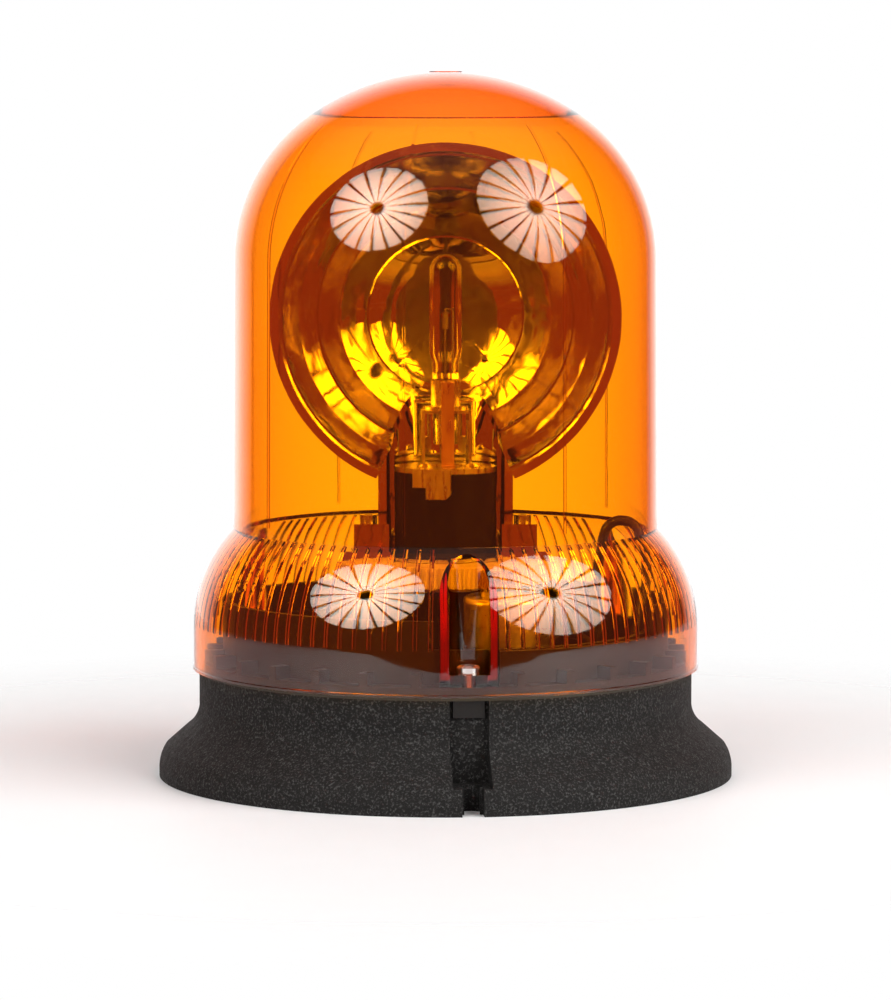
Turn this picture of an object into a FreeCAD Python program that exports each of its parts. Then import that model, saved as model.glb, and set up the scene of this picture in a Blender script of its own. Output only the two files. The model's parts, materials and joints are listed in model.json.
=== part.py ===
import FreeCAD, Part
import math
import os

from FreeCAD import Vector

# Rotating beacon: an amber dome lens over a halogen lamp on a fixed post. A chromed stepped reflector turns
# about the post on a ring gear, driven by a small motor. Millimetres, +Z up. The origin is the centre of
# the underside of the rubber base. One mounting slot points to -Y, and so does the front lens screw.

# ---- overall ----
TOTAL_HEIGHT = 207.5
FIXINGS = 3                # mounting slots, and lens screws above them
FIXING_START = -90.0       # plan angle of the first of each

# ---- rubber base ----
FLANGE_R = 85.0
FLANGE_EDGE_H = 3.0        # upright part of the flange's edge
FLANGE_TOP_Z = 8.6         # where the rounded edge meets the sloping top
FLANGE_ROUND = 1.8         # how far the rounded edge comes in
FLANGE_ROUND_SAG = 0.5     # how far the middle of that edge has come in
COVE_Z = 13.9              # foot of the hollow between flange and collar
COVE_OUT = 4.2             # how far that foot stands out from the collar
COVE_MID_OUT = 1.34        # how far the middle of the hollow stands out
COVE_MID_SHARE = 0.42      # where that middle lies, as a share of the hollow's height
COVE_TOP_Z = 21.0
COLLAR_R = 73.0
COLLAR_TOP_Z = 31.0
RUBBER_WALL = 11.1         # collar's thickness round the chassis tub
TUB_FIT = 0.2              # rubber bore outside the chassis tub
SOLE_T = 3.0               # rubber lip under the chassis floor
SOLE_IN_R = 52.0
GROOVE_W = 11.1            # upright groove over each mounting slot
GROOVE_DEPTH = 2.7         # how far each groove's face is set into the collar
BOLT_SEAT_Z = 7.5
BOLT_OUT = 4.0             # bolt circle outside the collar
BOLT_HOLE_R = 3.3
BOLT_NECK_W = 4.4          # narrow neck that the bolt snaps past
BOLT_MOUTH_W = 6.2
BOLT_NECK_L = 3.6          # from the bolt to where the neck widens into the mouth

# ---- lens ----
LENS_WALL = 2.5
GASKET_T = 1.0
GASKET_W = 1.5
GASKET_FIT = 0.1           # between the gasket and the chassis flange
LENS_LIP = 0.3             # small bead round the lower edge
LENS_LIP_H = 0.8
SKIRT_OVERHANG = 1.6       # skirt outside the rubber collar
SKIRT_H = 12.0
BULGE_R = 42.0             # radius of the ribbed bulge's section
BULGE_STEP = 11.8          # how far the tube's foot stands in from the skirt
TUBE_TAPER = 0.5
SHOULDER_IN = 10.0         # distance of the shoulder section's centre from the axis
CAP_OVER_SHOULDER = 17.7   # how much flatter the cap's radius is than the shoulder's
CAP_PAD_R = 38.5           # the cap is a little thicker inside this ring
CAP_PAD_T = 0.6
GATE_R = 4.9               # moulding gate disc at the very top
GATE_T = 1.0
SEAM_RIBS = 8              # fine upright ribs inside the dome
SEAM_START = -106.5
SEAM_W = 0.7
SEAM_PROUD = 0.5
SEAM_ABOVE_BULGE = 32.0
POCKET_R = 5.9             # half-round flute for each lens screw
POCKET_IN = 4.4            # flute's centre inside the skirt
POCKET_WALL = 2.4
POCKET_FLOOR_T = 3.7       # screw boss, on the chassis flange
POCKET_H = 36.6
LENS_SCREW_IN = 0.6        # screws inside the flute's centre
LENS_HOLE_R = 2.0
LENS_SCREW_HEAD_R = 3.35
LENS_SCREW_HEAD_H = 2.4
LENS_SCREW_SHANK_R = 1.75
LENS_SCREW_L = 11.4
LENS_SCREW_SOCKET_R = 1.5
LENS_SCREW_SOCKET_D = 1.2

# ---- chassis ----
TUB_WALL = 2.5
FLOOR_T = 3.0
CHASSIS_FLANGE_T = 3.7
INNER_WALL_H = 9.3
INNER_WALL_STEP = 0.5      # inner wall inside the tub's outside
SHIELD_IN = 7.0            # tall black wall seen through the bulge, inside the collar's radius
SHIELD_T = 2.0
SHIELD_H = 17.8
SHIELD_GAP_W = 18.6        # left out round each lens pocket
WINDOW_FROM = -90.0        # the shield is cut down here, in front of the motor
WINDOW_TO = -30.0
CENTRING_RIBS = 30
CENTRING_RIB_W = 2.6
CENTRING_RIB_H = 3.6
CENTRING_RIB_CLEAR = 9.0   # degrees left free either side of each lens screw
SCREW_BOSS_W = 9.0
SCREW_BOSS_H = 5.0
PILOT_R = 1.75
BLIND_FLOOR = 0.6          # left under each blind pilot hole
FLOOR_SKIN = 0.8           # chassis floor left under the post's screws
INLET_X = -36.0
INLET_R = 5.0
CABLE_R = 3.2
GROMMET_FLANGE = 2.2
GROMMET_FLANGE_T = 1.7
GROMMET_STEP = 0.6
GROMMET_SLOPE = 0.8

# ---- lamp post ----
POST_R = 15.0
POST_BORE_R = 10.5
POST_SHOULDER_R = 17.5
POST_SHOULDER_Z = 56.0
POST_TOP_Z = 90.0
POST_ROOF_T = 4.0
POST_WIRE_X = 5.5
POST_WIRE_HOLE_R = 1.5
EAR_R = 4.2
EAR_T = 3.0
EAR_CENTRE_R = 20.5
EARS = 3
LEAD_DOOR_W = 5.0
LEAD_DOOR_H = 9.0
LEAD_DOOR_ANGLE = 30.0
SMALL_SCREW_R = 1.4
SMALL_HEAD_R = 2.7
SMALL_HEAD_H = 1.9
SMALL_HEAD_FIT = 0.3
SMALL_SLOT_W = 0.7
SMALL_SLOT_D = 0.8
HEAD_CHAMFER = 0.7

# ---- rotor: bush, gear, reflector ----
RUN_FIT = 0.05             # radial running clearance on the post and in the motor
AXIAL_PLAY = 0.1
WASHER_T = 1.0
WASHER_R = 20.0
WASHER_FIT = 0.1
BUSH_WALL = 1.95
BUSH_FLANGE_R = 19.5
BUSH_FLANGE_T = 0.9
GEAR_MODULE = 0.8
GEAR_TEETH = 77
PINION_TEETH = 10
PRESSURE_ANGLE = 20.0
BACKLASH = 0.16            # taken off each tooth at the pitch circle
GEAR_ADDENDUM = 0.85       # in modules
PINION_ADDENDUM = 0.9
DEDENDUM = 1.25
GEAR_T = 6.0
GEAR_RIM_W = 4.0
GEAR_HUB_R = 21.0
GEAR_WEB_T = 3.6
GEAR_BOSS_R = 3.2
RING_T = 1.0
RING_GROOVE_D = 0.7
RING_STAND = 1.8
RING_GAP_W = 6.0
PARK_ANGLE = -5.3          # the way the reflector faces at rest, from -Y
DISH_OVER_FILAMENT = 1.0
DISH_RIM_R = 51.3
DISH_FOCUS = 20.0
DISH_WALL = 2.0
DISH_LIP_W = 2.5
DISH_LIP_T = 1.6
DISH_STEPS = [23.0, 31.5, 37.5, 43.0, 47.5]   # radii where the mirror steps forward
DISH_STEP = 0.7
DISH_BACK_BOW = 0.4        # slight bow of the dish's back between crown and lip
NOTCH_TOP_Z = 108.0        # V opening in the dish for the lamp
NOTCH_TOP_W = 22.0
NOTCH_LOW_Z = 88.0
NOTCH_LOW_W = 41.0
NOTCH_BACK_Y = 12.0        # the V opening ends here, in front of the neck's back
LAMP_CLEAR_R = 15.5
LAMP_CLEAR_H = 3.5         # over the bulb's bracket
NECK_R = 20.0
NECK_T = 2.5
NECK_UNDER_DISH = 8.0      # neck's top below the dish's centre
NECK_FRONT = 1.5           # how far the half-round neck comes in front of the axis
FOOT_PLATE_T = 3.0
FOOT_PLATE_HALF = 31.4
FOOT_PLATE_DEPTH = 15.0
FOOT_IN_X = 15.5
FOOT_OUT_X = 27.0
FOOT_DEPTH = 11.0
FOOT_H = 7.6               # over the foot plate
FOOT_SCREW_X = 22.8
FOOT_HOLE_R = 2.1
FOOT_HOLE_DROP = 4.0       # from the foot's top
FOOT_HOLE_D = 3.0
FOOT_SCREW_HEAD_R = 2.6
FOOT_SCREW_HEAD_H = 2.4
FOOT_SOCKET_R = 1.3
FOOT_SOCKET_D = 1.2

# ---- motor ----
MOTOR_ANGLE = -66.0
MOTOR_R = 13.0
MOTOR_L = 38.0
MOTOR_UNDER_GEAR = 2.0
MOTOR_ROUND = 1.5
MOTOR_BOSS_R = 3.6
MOTOR_BOSS_H = 1.6
END_CAP_R = 12.4
END_CAP_T = 4.0
END_TAB_L = 4.5
END_TAB_W = 3.2
END_TAB_T = 1.4
END_TAB_RISE = 1.0
SHAFT_R = 1.15
SHAFT_DEPTH = 10.0         # how far the shaft reaches into the can
SHAFT_FLOOR = 0.3
PINION_RISE = 0.4          # pinion's foot over the gear's
PINION_T = 4.6
CUP_FIT = 0.2
CUP_WALL = 2.4
CUP_GRIP = 12.0            # how far the cup holds the motor
CUP_NOTCH_W = 6.0
CUP_LEDGE_R = 10.5
CLAMP_T = 3.5
CLAMP_EAR_R = 3.4
CLAMP_EAR_OUT = 2.0        # ear centres outside the cup
CLAMP_SCREW_L = 6.0
CLAMP_PILOT_D = 8.0
CLAMP_EAR_TURN = 115.0     # plan angle between the motor's outward side and each clamp ear
CLAMP_SPLIT_W = 2.0

# ---- lamp holder and bulb ----
PLATE_T = 1.5
PLATE_R = 15.0
TAB_ANGLE = -110.0
TAB_W = 11.5
TAB_DROP = 8.8
TAB_T = 0.9
TAB_CHAMFER = 1.6
TAB_BEND = 0.1             # plate's edge to the tab's inner face
TAB_NOTCH_W = 4.0
TAB_NOTCH_H = 3.4
PLATE_SCREW_X = 7.0
PLATE_SCREW_Y = -9.6
PLATE_SCREW_DOME_R = 2.3
PLATE_SCREW_DOME_H = 1.3
PLATE_SCREW_ROUND = 0.8
BRACKET_T = 0.8
BRACKET_HALF = 7.3         # outside of the bracket's side walls
BRACKET_DEPTH = 9.0
BRACKET_H = 16.5
WINDOW_W = 4.2
WINDOW_RISE = 6.0          # window's foot over the plate
WINDOW_H = 7.5
STRIP_W = 3.8
STRIP_T = 0.6
STRIP_FIT = 0.15           # strip in front of the bulb's flange
STRIP_FOOT_L = 3.0
STRIP_BITE = 0.02
STRIP_UNDER_CAP = 0.5      # strip's top below the top of the bulb's cap
CAP_FLANGE_R = 6.7
CAP_FLANGE_T = 1.2
BULB_CAP_R = 4.45
CAP_FLAT = 1.2             # flat cut off the back of the flange
BULB_CAP_H = 9.0           # over the bracket
CAP_TAIL_R = 3.6
CAP_TAIL_FIT = 0.3
CAP_TAIL_L = 10.0
CAP_TAB_W = 3.2
CAP_TAB_T = 0.8
CAP_TAB_L = 4.4
GLASS_R = 4.8
GLASS_NECK_R = 3.9
GLASS_NECK_H = 5.0
GLASS_SWELL_H = 3.0
GLASS_H = 37.0
GLASS_SEAL_H = 2.0         # solid pinch at the foot of the glass
GLASS_WALL = 0.7
FILAMENT_H = 17.5          # coil's middle over the bulb's cap
FILAMENT_R = 0.9
FILAMENT_L = 5.0
FILAMENT_WIRE_R = 0.3
FILAMENT_REACH = 2.2       # from the coil to the upper lead beside it
CLIP_WIRE_R = 0.6
CLIP_X = 8.7
CLIP_PIVOT_Y = 2.0
CLIP_PIVOT_H = 3.0         # over the plate
CLIP_PIN_REACH = 0.4       # past the bracket's wall
CLIP_BAR_Y = 5.7
CLIP_BAR_ABOVE = 0.15      # how far the bar lies over the bulb's flange

# ---- wiring ----
LEAD_R = 1.5
LAMP_LEAD_R = 1.3
BLOCK_FROM_WALL = 18.7     # terminal block's inner face, from the tub's inside
BLOCK_L = 10.0
BLOCK_LOW_Y = -4.5
BLOCK_W = 16.0
BLOCK_H = 16.0
BLOCK_SLIT_W = 1.0
BLOCK_SLIT_D = 3.0
LUG_R = 2.2
LUG_H = 6.0
LUG_SHARE = 0.25           # each lug's place across the block's width

# ---- derived: base, lens and chassis ----
GROOVE_BACK_R = COLLAR_R - GROOVE_DEPTH
BOLT_CIRCLE_R = COLLAR_R + BOLT_OUT
BOLT_MOUTH_R = BOLT_CIRCLE_R + BOLT_NECK_L
TUB_R = COLLAR_R - RUBBER_WALL - TUB_FIT
TUB_IN_R = TUB_R - TUB_WALL
FLANGE_OUT_R = COLLAR_R - GASKET_W - GASKET_FIT
SHIELD_R = COLLAR_R - SHIELD_IN
FLOOR_TOP_Z = SOLE_T + FLOOR_T
FLANGE_LOW_Z = COLLAR_TOP_Z
FLANGE_UP_Z = FLANGE_LOW_Z + CHASSIS_FLANGE_T
INNER_WALL_TOP_Z = FLANGE_UP_Z + INNER_WALL_H
SHIELD_TOP_Z = FLANGE_UP_Z + SHIELD_H
SCREW_BOSS_LOW_Z = FLANGE_LOW_Z - SCREW_BOSS_H
SKIRT_R = COLLAR_R + SKIRT_OVERHANG
LENS_BOTTOM_Z = COLLAR_TOP_Z + GASKET_T
BULGE_Z = LENS_BOTTOM_Z + SKIRT_H
TUBE_BOTTOM_R = SKIRT_R - BULGE_STEP
TUBE_TOP_R = TUBE_BOTTOM_R - TUBE_TAPER
SHOULDER_R = TUBE_TOP_R - SHOULDER_IN
CAP_R = SHOULDER_R + CAP_OVER_SHOULDER
SEAM_LOW_Z = BULGE_Z + SEAM_ABOVE_BULGE
POCKET_CENTRE_R = SKIRT_R - POCKET_IN
POCKET_UNDER_Z = FLANGE_UP_Z
POCKET_FLOOR_Z = POCKET_UNDER_Z + POCKET_FLOOR_T
POCKET_TOP_Z = POCKET_FLOOR_Z + POCKET_H
LENS_SCREW_R = POCKET_CENTRE_R - LENS_SCREW_IN
CAP_CENTRE_Z = TOTAL_HEIGHT - CAP_R
SHOULDER_Z = CAP_CENTRE_Z + math.sqrt((CAP_R - SHOULDER_R) ** 2 - SHOULDER_IN ** 2)
BULGE_IN = SKIRT_R - BULGE_R

# ---- derived: rotor, motor and lamp ----
GEAR_R = GEAR_MODULE * GEAR_TEETH / 2
PINION_R = GEAR_MODULE * PINION_TEETH / 2
MOTOR_X = (GEAR_R + PINION_R) * math.cos(math.radians(MOTOR_ANGLE))
MOTOR_Y = (GEAR_R + PINION_R) * math.sin(math.radians(MOTOR_ANGLE))
BUSH_IN_R = POST_R + RUN_FIT
BUSH_R = BUSH_IN_R + BUSH_WALL
BUSH_LOW_Z = POST_SHOULDER_Z + WASHER_T + AXIAL_PLAY
GEAR_LOW_Z = BUSH_LOW_Z + BUSH_FLANGE_T
GEAR_TOP_Z = GEAR_LOW_Z + GEAR_T
RING_LOW_Z = GEAR_TOP_Z + 2 * AXIAL_PLAY
FOOT_PLATE_TOP_Z = GEAR_TOP_Z + FOOT_PLATE_T
FOOT_TOP_Z = FOOT_PLATE_TOP_Z + FOOT_H
FOOT_HOLE_Z = FOOT_TOP_Z - FOOT_HOLE_DROP
MOTOR_TOP_Z = GEAR_LOW_Z - MOTOR_UNDER_GEAR
MOTOR_BOTTOM_Z = MOTOR_TOP_Z - MOTOR_L
END_CAP_LOW_Z = MOTOR_BOTTOM_Z - END_CAP_T
SHAFT_LOW_Z = MOTOR_TOP_Z - SHAFT_DEPTH
PINION_LOW_Z = GEAR_LOW_Z + PINION_RISE
CUP_TOP_Z = MOTOR_BOTTOM_Z + CUP_GRIP
CUP_IN_R = MOTOR_R + CUP_FIT
CUP_R = CUP_IN_R + CUP_WALL
PLATE_TOP_Z = POST_TOP_Z + PLATE_T
BRACKET_TOP_Z = PLATE_TOP_Z + BRACKET_H
WINDOW_LOW_Z = PLATE_TOP_Z + WINDOW_RISE
WINDOW_TOP_Z = WINDOW_LOW_Z + WINDOW_H
BULB_CAP_TOP_Z = BRACKET_TOP_Z + BULB_CAP_H
STRIP_TOP_Z = BULB_CAP_TOP_Z - STRIP_UNDER_CAP
STRIP_Y = -CAP_FLANGE_R - STRIP_FIT
CAP_TAIL_LOW_Z = BRACKET_TOP_Z - CAP_TAIL_L
CAP_TAB_LOW_Z = CAP_TAIL_LOW_Z - CAP_TAB_L
GLASS_NECK_Z = BULB_CAP_TOP_Z + GLASS_NECK_H
GLASS_TOP_Z = BULB_CAP_TOP_Z + GLASS_H
FILAMENT_Z = BULB_CAP_TOP_Z + FILAMENT_H
DISH_Z = FILAMENT_Z + DISH_OVER_FILAMENT
LAMP_CLEAR_TOP_Z = BRACKET_TOP_Z + LAMP_CLEAR_H
CLIP_PIVOT_Z = PLATE_TOP_Z + CLIP_PIVOT_H
BLOCK_X = TUB_IN_R - BLOCK_FROM_WALL
BLOCK_TOP_Z = FLOOR_TOP_Z + BLOCK_H
LUG_TOP_Z = BLOCK_TOP_Z + LUG_H
LUG_X = BLOCK_X + BLOCK_L / 2


def plan(radius, degrees):
    """X and Y of a point at this distance and plan angle."""
    turn = math.radians(degrees)
    return radius * math.cos(turn), radius * math.sin(turn)


def disc(radius, low, high, x=0.0, y=0.0):
    return Part.makeCylinder(radius, high - low, Vector(x, y, low))


def tube(outer, inner, low, high, x=0.0, y=0.0):
    return disc(outer, low, high, x, y).cut(disc(inner, low - 1, high + 1, x, y))


def block(x0, x1, y0, y1, z0, z1):
    return Part.makeBox(x1 - x0, y1 - y0, z1 - z0, Vector(x0, y0, z0))


def turned(shape, degrees, x=0.0, y=0.0):
    """A copy turned about the upright line through x, y."""
    copy = shape.copy()
    copy.rotate(Vector(x, y, 0), Vector(0, 0, 1), degrees)
    return copy


def fixing_angles():
    return [FIXING_START + 360.0 * i / FIXINGS for i in range(FIXINGS)]


def line(a, b):
    return Part.LineSegment(Vector(a[0], 0, a[1]), Vector(b[0], 0, b[1])).toShape()


def arc(centre, radius, start, end):
    """Arc in the XZ plane from one angle to another, in degrees above the outward direction."""
    points = []
    for turn in (start, (start + end) / 2, end):
        x = centre[0] + radius * math.cos(math.radians(turn))
        z = centre[1] + radius * math.sin(math.radians(turn))
        points.append(Vector(x, 0, z))
    return Part.Arc(*points).toShape()


def arc_through(a, b, c):
    return Part.Arc(*(Vector(p[0], 0, p[1]) for p in (a, b, c))).toShape()


def polygon(points):
    closed = points + [points[0]]
    return [line(closed[i], closed[i + 1]) for i in range(len(points))]


def spun(edges, degrees=360.0):
    """Solid of revolution about Z of a closed outline in the XZ plane."""
    face = Part.Face(Part.Wire(edges))
    return face.revolve(Vector(0, 0, 0), Vector(0, 0, 1), degrees)


def save(name, solids):
    """Writes one node, and prints its solids and volume."""
    shape = solids if isinstance(solids, Part.Shape) else Part.makeCompound(solids)
    shape.exportStep("parts/" + name + ".step")
    print(name, len(shape.Solids), round(shape.Volume, 1), shape.isValid())
    return shape


# ---- rubber base ----

def rubber_base():
    slope_out = (FLANGE_R - FLANGE_ROUND, FLANGE_TOP_Z)
    edge_mid = (FLANGE_R - FLANGE_ROUND_SAG, (FLANGE_EDGE_H + FLANGE_TOP_Z) / 2)
    slope_in = (COLLAR_R + COVE_OUT, COVE_Z)
    cove_mid = (COLLAR_R + COVE_MID_OUT, COVE_Z + COVE_MID_SHARE * (COVE_TOP_Z - COVE_Z))
    bore = TUB_R + TUB_FIT
    body = spun([
        line((SOLE_IN_R, 0), (FLANGE_R, 0)),
        line((FLANGE_R, 0), (FLANGE_R, FLANGE_EDGE_H)),
        arc_through((FLANGE_R, FLANGE_EDGE_H), edge_mid, slope_out),
        line(slope_out, slope_in),
        arc_through(slope_in, cove_mid, (COLLAR_R, COVE_TOP_Z)),
        line((COLLAR_R, COVE_TOP_Z), (COLLAR_R, COLLAR_TOP_Z)),
        line((COLLAR_R, COLLAR_TOP_Z), (bore, COLLAR_TOP_Z)),
        line((bore, COLLAR_TOP_Z), (bore, SOLE_T)),
        line((bore, SOLE_T), (SOLE_IN_R, SOLE_T)),
        line((SOLE_IN_R, SOLE_T), (SOLE_IN_R, 0)),
    ])
    for angle in fixing_angles():
        body = body.cut(turned(mounting_slot(), angle))
    return body


def mounting_slot():
    """Cutter for one groove, its bolt hole and mouth, and the lens screw boss, along +X."""
    far = FLANGE_R + 5
    half = GROOVE_W / 2
    groove = block(GROOVE_BACK_R, far, -half, half, BOLT_SEAT_Z, COLLAR_TOP_Z + 1)
    hole = disc(BOLT_HOLE_R, -1, BOLT_SEAT_Z + 1, BOLT_CIRCLE_R)
    neck = block(BOLT_CIRCLE_R, far, -BOLT_NECK_W / 2, BOLT_NECK_W / 2, -1, BOLT_SEAT_Z + 1)
    mouth = block(BOLT_MOUTH_R, far, -BOLT_MOUTH_W / 2, BOLT_MOUTH_W / 2, -1, BOLT_SEAT_Z + 1)
    boss_half = SCREW_BOSS_W / 2 + TUB_FIT
    boss_room = block(TUB_R, far, -boss_half, boss_half, SCREW_BOSS_LOW_Z - TUB_FIT, COLLAR_TOP_Z + 1)
    return groove.fuse([hole, neck, mouth, boss_room])


# ---- lens ----

def dome_body(inset):
    """The whole dome as a solid, with every outer face moved in by the inset."""
    skirt = SKIRT_R - inset
    bulge = BULGE_R - inset
    tube_low = TUBE_BOTTOM_R - inset
    bulge_end = math.degrees(math.acos((tube_low - BULGE_IN) / bulge))
    bulge_top = BULGE_Z + bulge * math.sin(math.radians(bulge_end))
    tangent = math.degrees(math.atan2(SHOULDER_Z - CAP_CENTRE_Z, SHOULDER_IN))
    cap = CAP_R - inset
    apex = CAP_CENTRE_Z + cap
    low = LENS_BOTTOM_Z
    return spun([
        line((0, low), (skirt, low)),
        line((skirt, low), (skirt, BULGE_Z)),
        arc((BULGE_IN, BULGE_Z), bulge, 0, bulge_end),
        line((tube_low, bulge_top), (TUBE_TOP_R - inset, SHOULDER_Z)),
        arc((SHOULDER_IN, SHOULDER_Z), SHOULDER_R - inset, 0, tangent),
        arc((0, CAP_CENTRE_Z), cap, tangent, 90),
        line((0, apex), (0, low)),
    ])


def pocket_channel(radius, low):
    """Upright flute along +X, open outward."""
    far = SKIRT_R + 5
    round_back = disc(radius, low, POCKET_TOP_Z, POCKET_CENTRE_R)
    return round_back.fuse(block(POCKET_CENTRE_R, far, -radius, radius, low, POCKET_TOP_Z))


def seam_ribs(inner_body):
    """Fine ribs on the inside of the dome, from the tube's foot to the cap's ring."""
    core = dome_body(LENS_WALL + SEAM_PROUD)
    rib_slab = block(0, SKIRT_R, -SEAM_W / 2, SEAM_W / 2, SEAM_LOW_Z, TOTAL_HEIGHT)
    rib_slab = rib_slab.cut(disc(CAP_PAD_R, 0, TOTAL_HEIGHT + 1))
    one = inner_body.common(rib_slab).cut(core)
    return [turned(one, SEAM_START + 360.0 * i / SEAM_RIBS) for i in range(SEAM_RIBS)]


def lens_dome():
    outer = dome_body(0)
    inner = dome_body(LENS_WALL)
    room = inner.cut(disc(CAP_PAD_R, CAP_CENTRE_Z, TOTAL_HEIGHT))
    pad_core = dome_body(LENS_WALL + CAP_PAD_T).common(disc(CAP_PAD_R, CAP_CENTRE_Z, TOTAL_HEIGHT))
    room = room.fuse(pad_core)
    solid = outer.fuse(disc(GATE_R, TOTAL_HEIGHT - GATE_T, TOTAL_HEIGHT))
    lip = tube(SKIRT_R + LENS_LIP, SKIRT_R - 1, LENS_BOTTOM_Z, LENS_BOTTOM_Z + LENS_LIP_H)
    shell = solid.fuse(lip).cut(room)
    shell = shell.fuse(seam_ribs(inner))
    for angle in fixing_angles():
        plug = pocket_channel(POCKET_R + POCKET_WALL, POCKET_UNDER_Z).common(outer)
        shell = shell.fuse(turned(plug, angle))
    for angle in fixing_angles():
        flute = pocket_channel(POCKET_R, POCKET_FLOOR_Z)
        hole = disc(LENS_HOLE_R, POCKET_UNDER_Z - 1, POCKET_FLOOR_Z + 1, LENS_SCREW_R)
        shell = shell.cut(turned(flute.fuse(hole), angle))
    return shell


def lens_screw():
    seat = POCKET_FLOOR_Z
    head = disc(LENS_SCREW_HEAD_R, seat, seat + LENS_SCREW_HEAD_H, LENS_SCREW_R)
    head = head.makeChamfer(HEAD_CHAMFER, [head.Edges[0]])
    socket_low = seat + LENS_SCREW_HEAD_H - LENS_SCREW_SOCKET_D
    socket = disc(LENS_SCREW_SOCKET_R, socket_low, seat + 5, LENS_SCREW_R)
    shank = disc(LENS_SCREW_SHANK_R, seat - LENS_SCREW_L, seat, LENS_SCREW_R)
    return head.cut(socket).fuse(shank)


def lens_gasket():
    return tube(COLLAR_R, COLLAR_R - GASKET_W, COLLAR_TOP_Z, LENS_BOTTOM_Z)


# ---- chassis ----

def sector(radius, start, end, low, high):
    """Pie slice about the axis."""
    face_edges = polygon([(0, low), (radius, low), (radius, high), (0, high)])
    return turned(spun(face_edges, end - start), start)


def chassis():
    body = disc(TUB_R, SOLE_T, FLOOR_TOP_Z)
    body = body.fuse([
        tube(TUB_R, TUB_IN_R, SOLE_T, FLANGE_UP_Z),
        tube(FLANGE_OUT_R, TUB_IN_R, FLANGE_LOW_Z, FLANGE_UP_Z),
        tube(TUB_R - INNER_WALL_STEP, TUB_IN_R, FLANGE_UP_Z, INNER_WALL_TOP_Z),
        shield_wall(),
    ])
    ribs = []
    for i in range(CENTRING_RIBS):
        angle = 360.0 * (i + 0.5) / CENTRING_RIBS
        if all(abs((angle - a + 180) % 360 - 180) > CENTRING_RIB_CLEAR for a in fixing_angles()):
            rib = block(SHIELD_R - 0.5, FLANGE_OUT_R, -CENTRING_RIB_W / 2, CENTRING_RIB_W / 2,
                        FLANGE_UP_Z, FLANGE_UP_Z + CENTRING_RIB_H)
            ribs.append(turned(rib, angle))
    body = body.fuse(ribs)
    body = body.fuse(motor_cup())
    for angle in fixing_angles():
        boss = block(TUB_R - 1, FLANGE_OUT_R, -SCREW_BOSS_W / 2, SCREW_BOSS_W / 2,
                     SCREW_BOSS_LOW_Z, FLANGE_LOW_Z)
        boss = boss.common(disc(FLANGE_OUT_R, 0, POCKET_TOP_Z))
        body = body.fuse(turned(boss, angle))
    for angle in fixing_angles():
        pilot = disc(PILOT_R, SCREW_BOSS_LOW_Z + BLIND_FLOOR, FLANGE_UP_Z + 1, LENS_SCREW_R)
        body = body.cut(turned(pilot, angle))
    for x, y in ear_centres():
        body = body.cut(disc(SMALL_SCREW_R, SOLE_T + FLOOR_SKIN / 2, FLOOR_TOP_Z + 1, x, y))
    return body.cut(disc(INLET_R, 0, FLOOR_TOP_Z + 1, INLET_X))


def shield_wall():
    wall = tube(SHIELD_R, SHIELD_R - SHIELD_T, FLANGE_UP_Z - 1, SHIELD_TOP_Z)
    for angle in fixing_angles():
        gap = block(0, SHIELD_R + 5, -SHIELD_GAP_W / 2, SHIELD_GAP_W / 2, FLANGE_UP_Z, SHIELD_TOP_Z + 1)
        wall = wall.cut(turned(gap, angle))
    return wall.cut(sector(SHIELD_R + 5, WINDOW_FROM, WINDOW_TO, INNER_WALL_TOP_Z, SHIELD_TOP_Z + 1))


def clamp_ear_centres():
    """The two ears that hold the motor clamp, either side of the motor."""
    far = CUP_R + CLAMP_EAR_OUT
    centres = []
    for turn in (MOTOR_ANGLE + CLAMP_EAR_TURN, MOTOR_ANGLE - CLAMP_EAR_TURN):
        x, y = plan(far, turn)
        centres.append((MOTOR_X + x, MOTOR_Y + y))
    return centres


def motor_cup():
    """Cup that the motor stands in, with a notch for its lead."""
    low = FLOOR_TOP_Z - 0.5
    cup = tube(CUP_R, CUP_IN_R, low, CUP_TOP_Z, MOTOR_X, MOTOR_Y)
    ledge = tube(CUP_IN_R + 0.5, CUP_LEDGE_R, low, END_CAP_LOW_Z, MOTOR_X, MOTOR_Y)
    ears = [disc(CLAMP_EAR_R, low, CUP_TOP_Z, x, y) for x, y in clamp_ear_centres()]
    cup = cup.fuse([ledge] + ears).cut(disc(CUP_IN_R, END_CAP_LOW_Z, CUP_TOP_Z + 1, MOTOR_X, MOTOR_Y))
    for x, y in clamp_ear_centres():
        cup = cup.cut(disc(SMALL_SCREW_R, CUP_TOP_Z - CLAMP_PILOT_D, CUP_TOP_Z + 1, x, y))
    notch = block(MOTOR_X + CUP_LEDGE_R - 1, MOTOR_X + CUP_R + 2, MOTOR_Y - CUP_NOTCH_W / 2,
                  MOTOR_Y + CUP_NOTCH_W / 2, FLOOR_TOP_Z, MOTOR_BOTTOM_Z)
    return cup.cut(notch)


def cable_grommet():
    """Rubber grommet in the cable inlet of the chassis floor."""
    wide = INLET_R + GROMMET_FLANGE
    low = SOLE_T - GROMMET_FLANGE_T
    high = FLOOR_TOP_Z + GROMMET_FLANGE_T
    outline = polygon([
        (CABLE_R, low), (wide, low), (wide, SOLE_T), (INLET_R, SOLE_T),
        (INLET_R, FLOOR_TOP_Z), (wide - GROMMET_STEP, FLOOR_TOP_Z),
        (wide - GROMMET_STEP - GROMMET_SLOPE, high), (CABLE_R, high),
    ])
    ring = spun(outline)
    ring.translate(Vector(INLET_X, 0, 0))
    return ring


# ---- lamp post ----

def ear_centres():
    return [plan(EAR_CENTRE_R, 360.0 * i / EARS) for i in range(EARS)]


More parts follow.
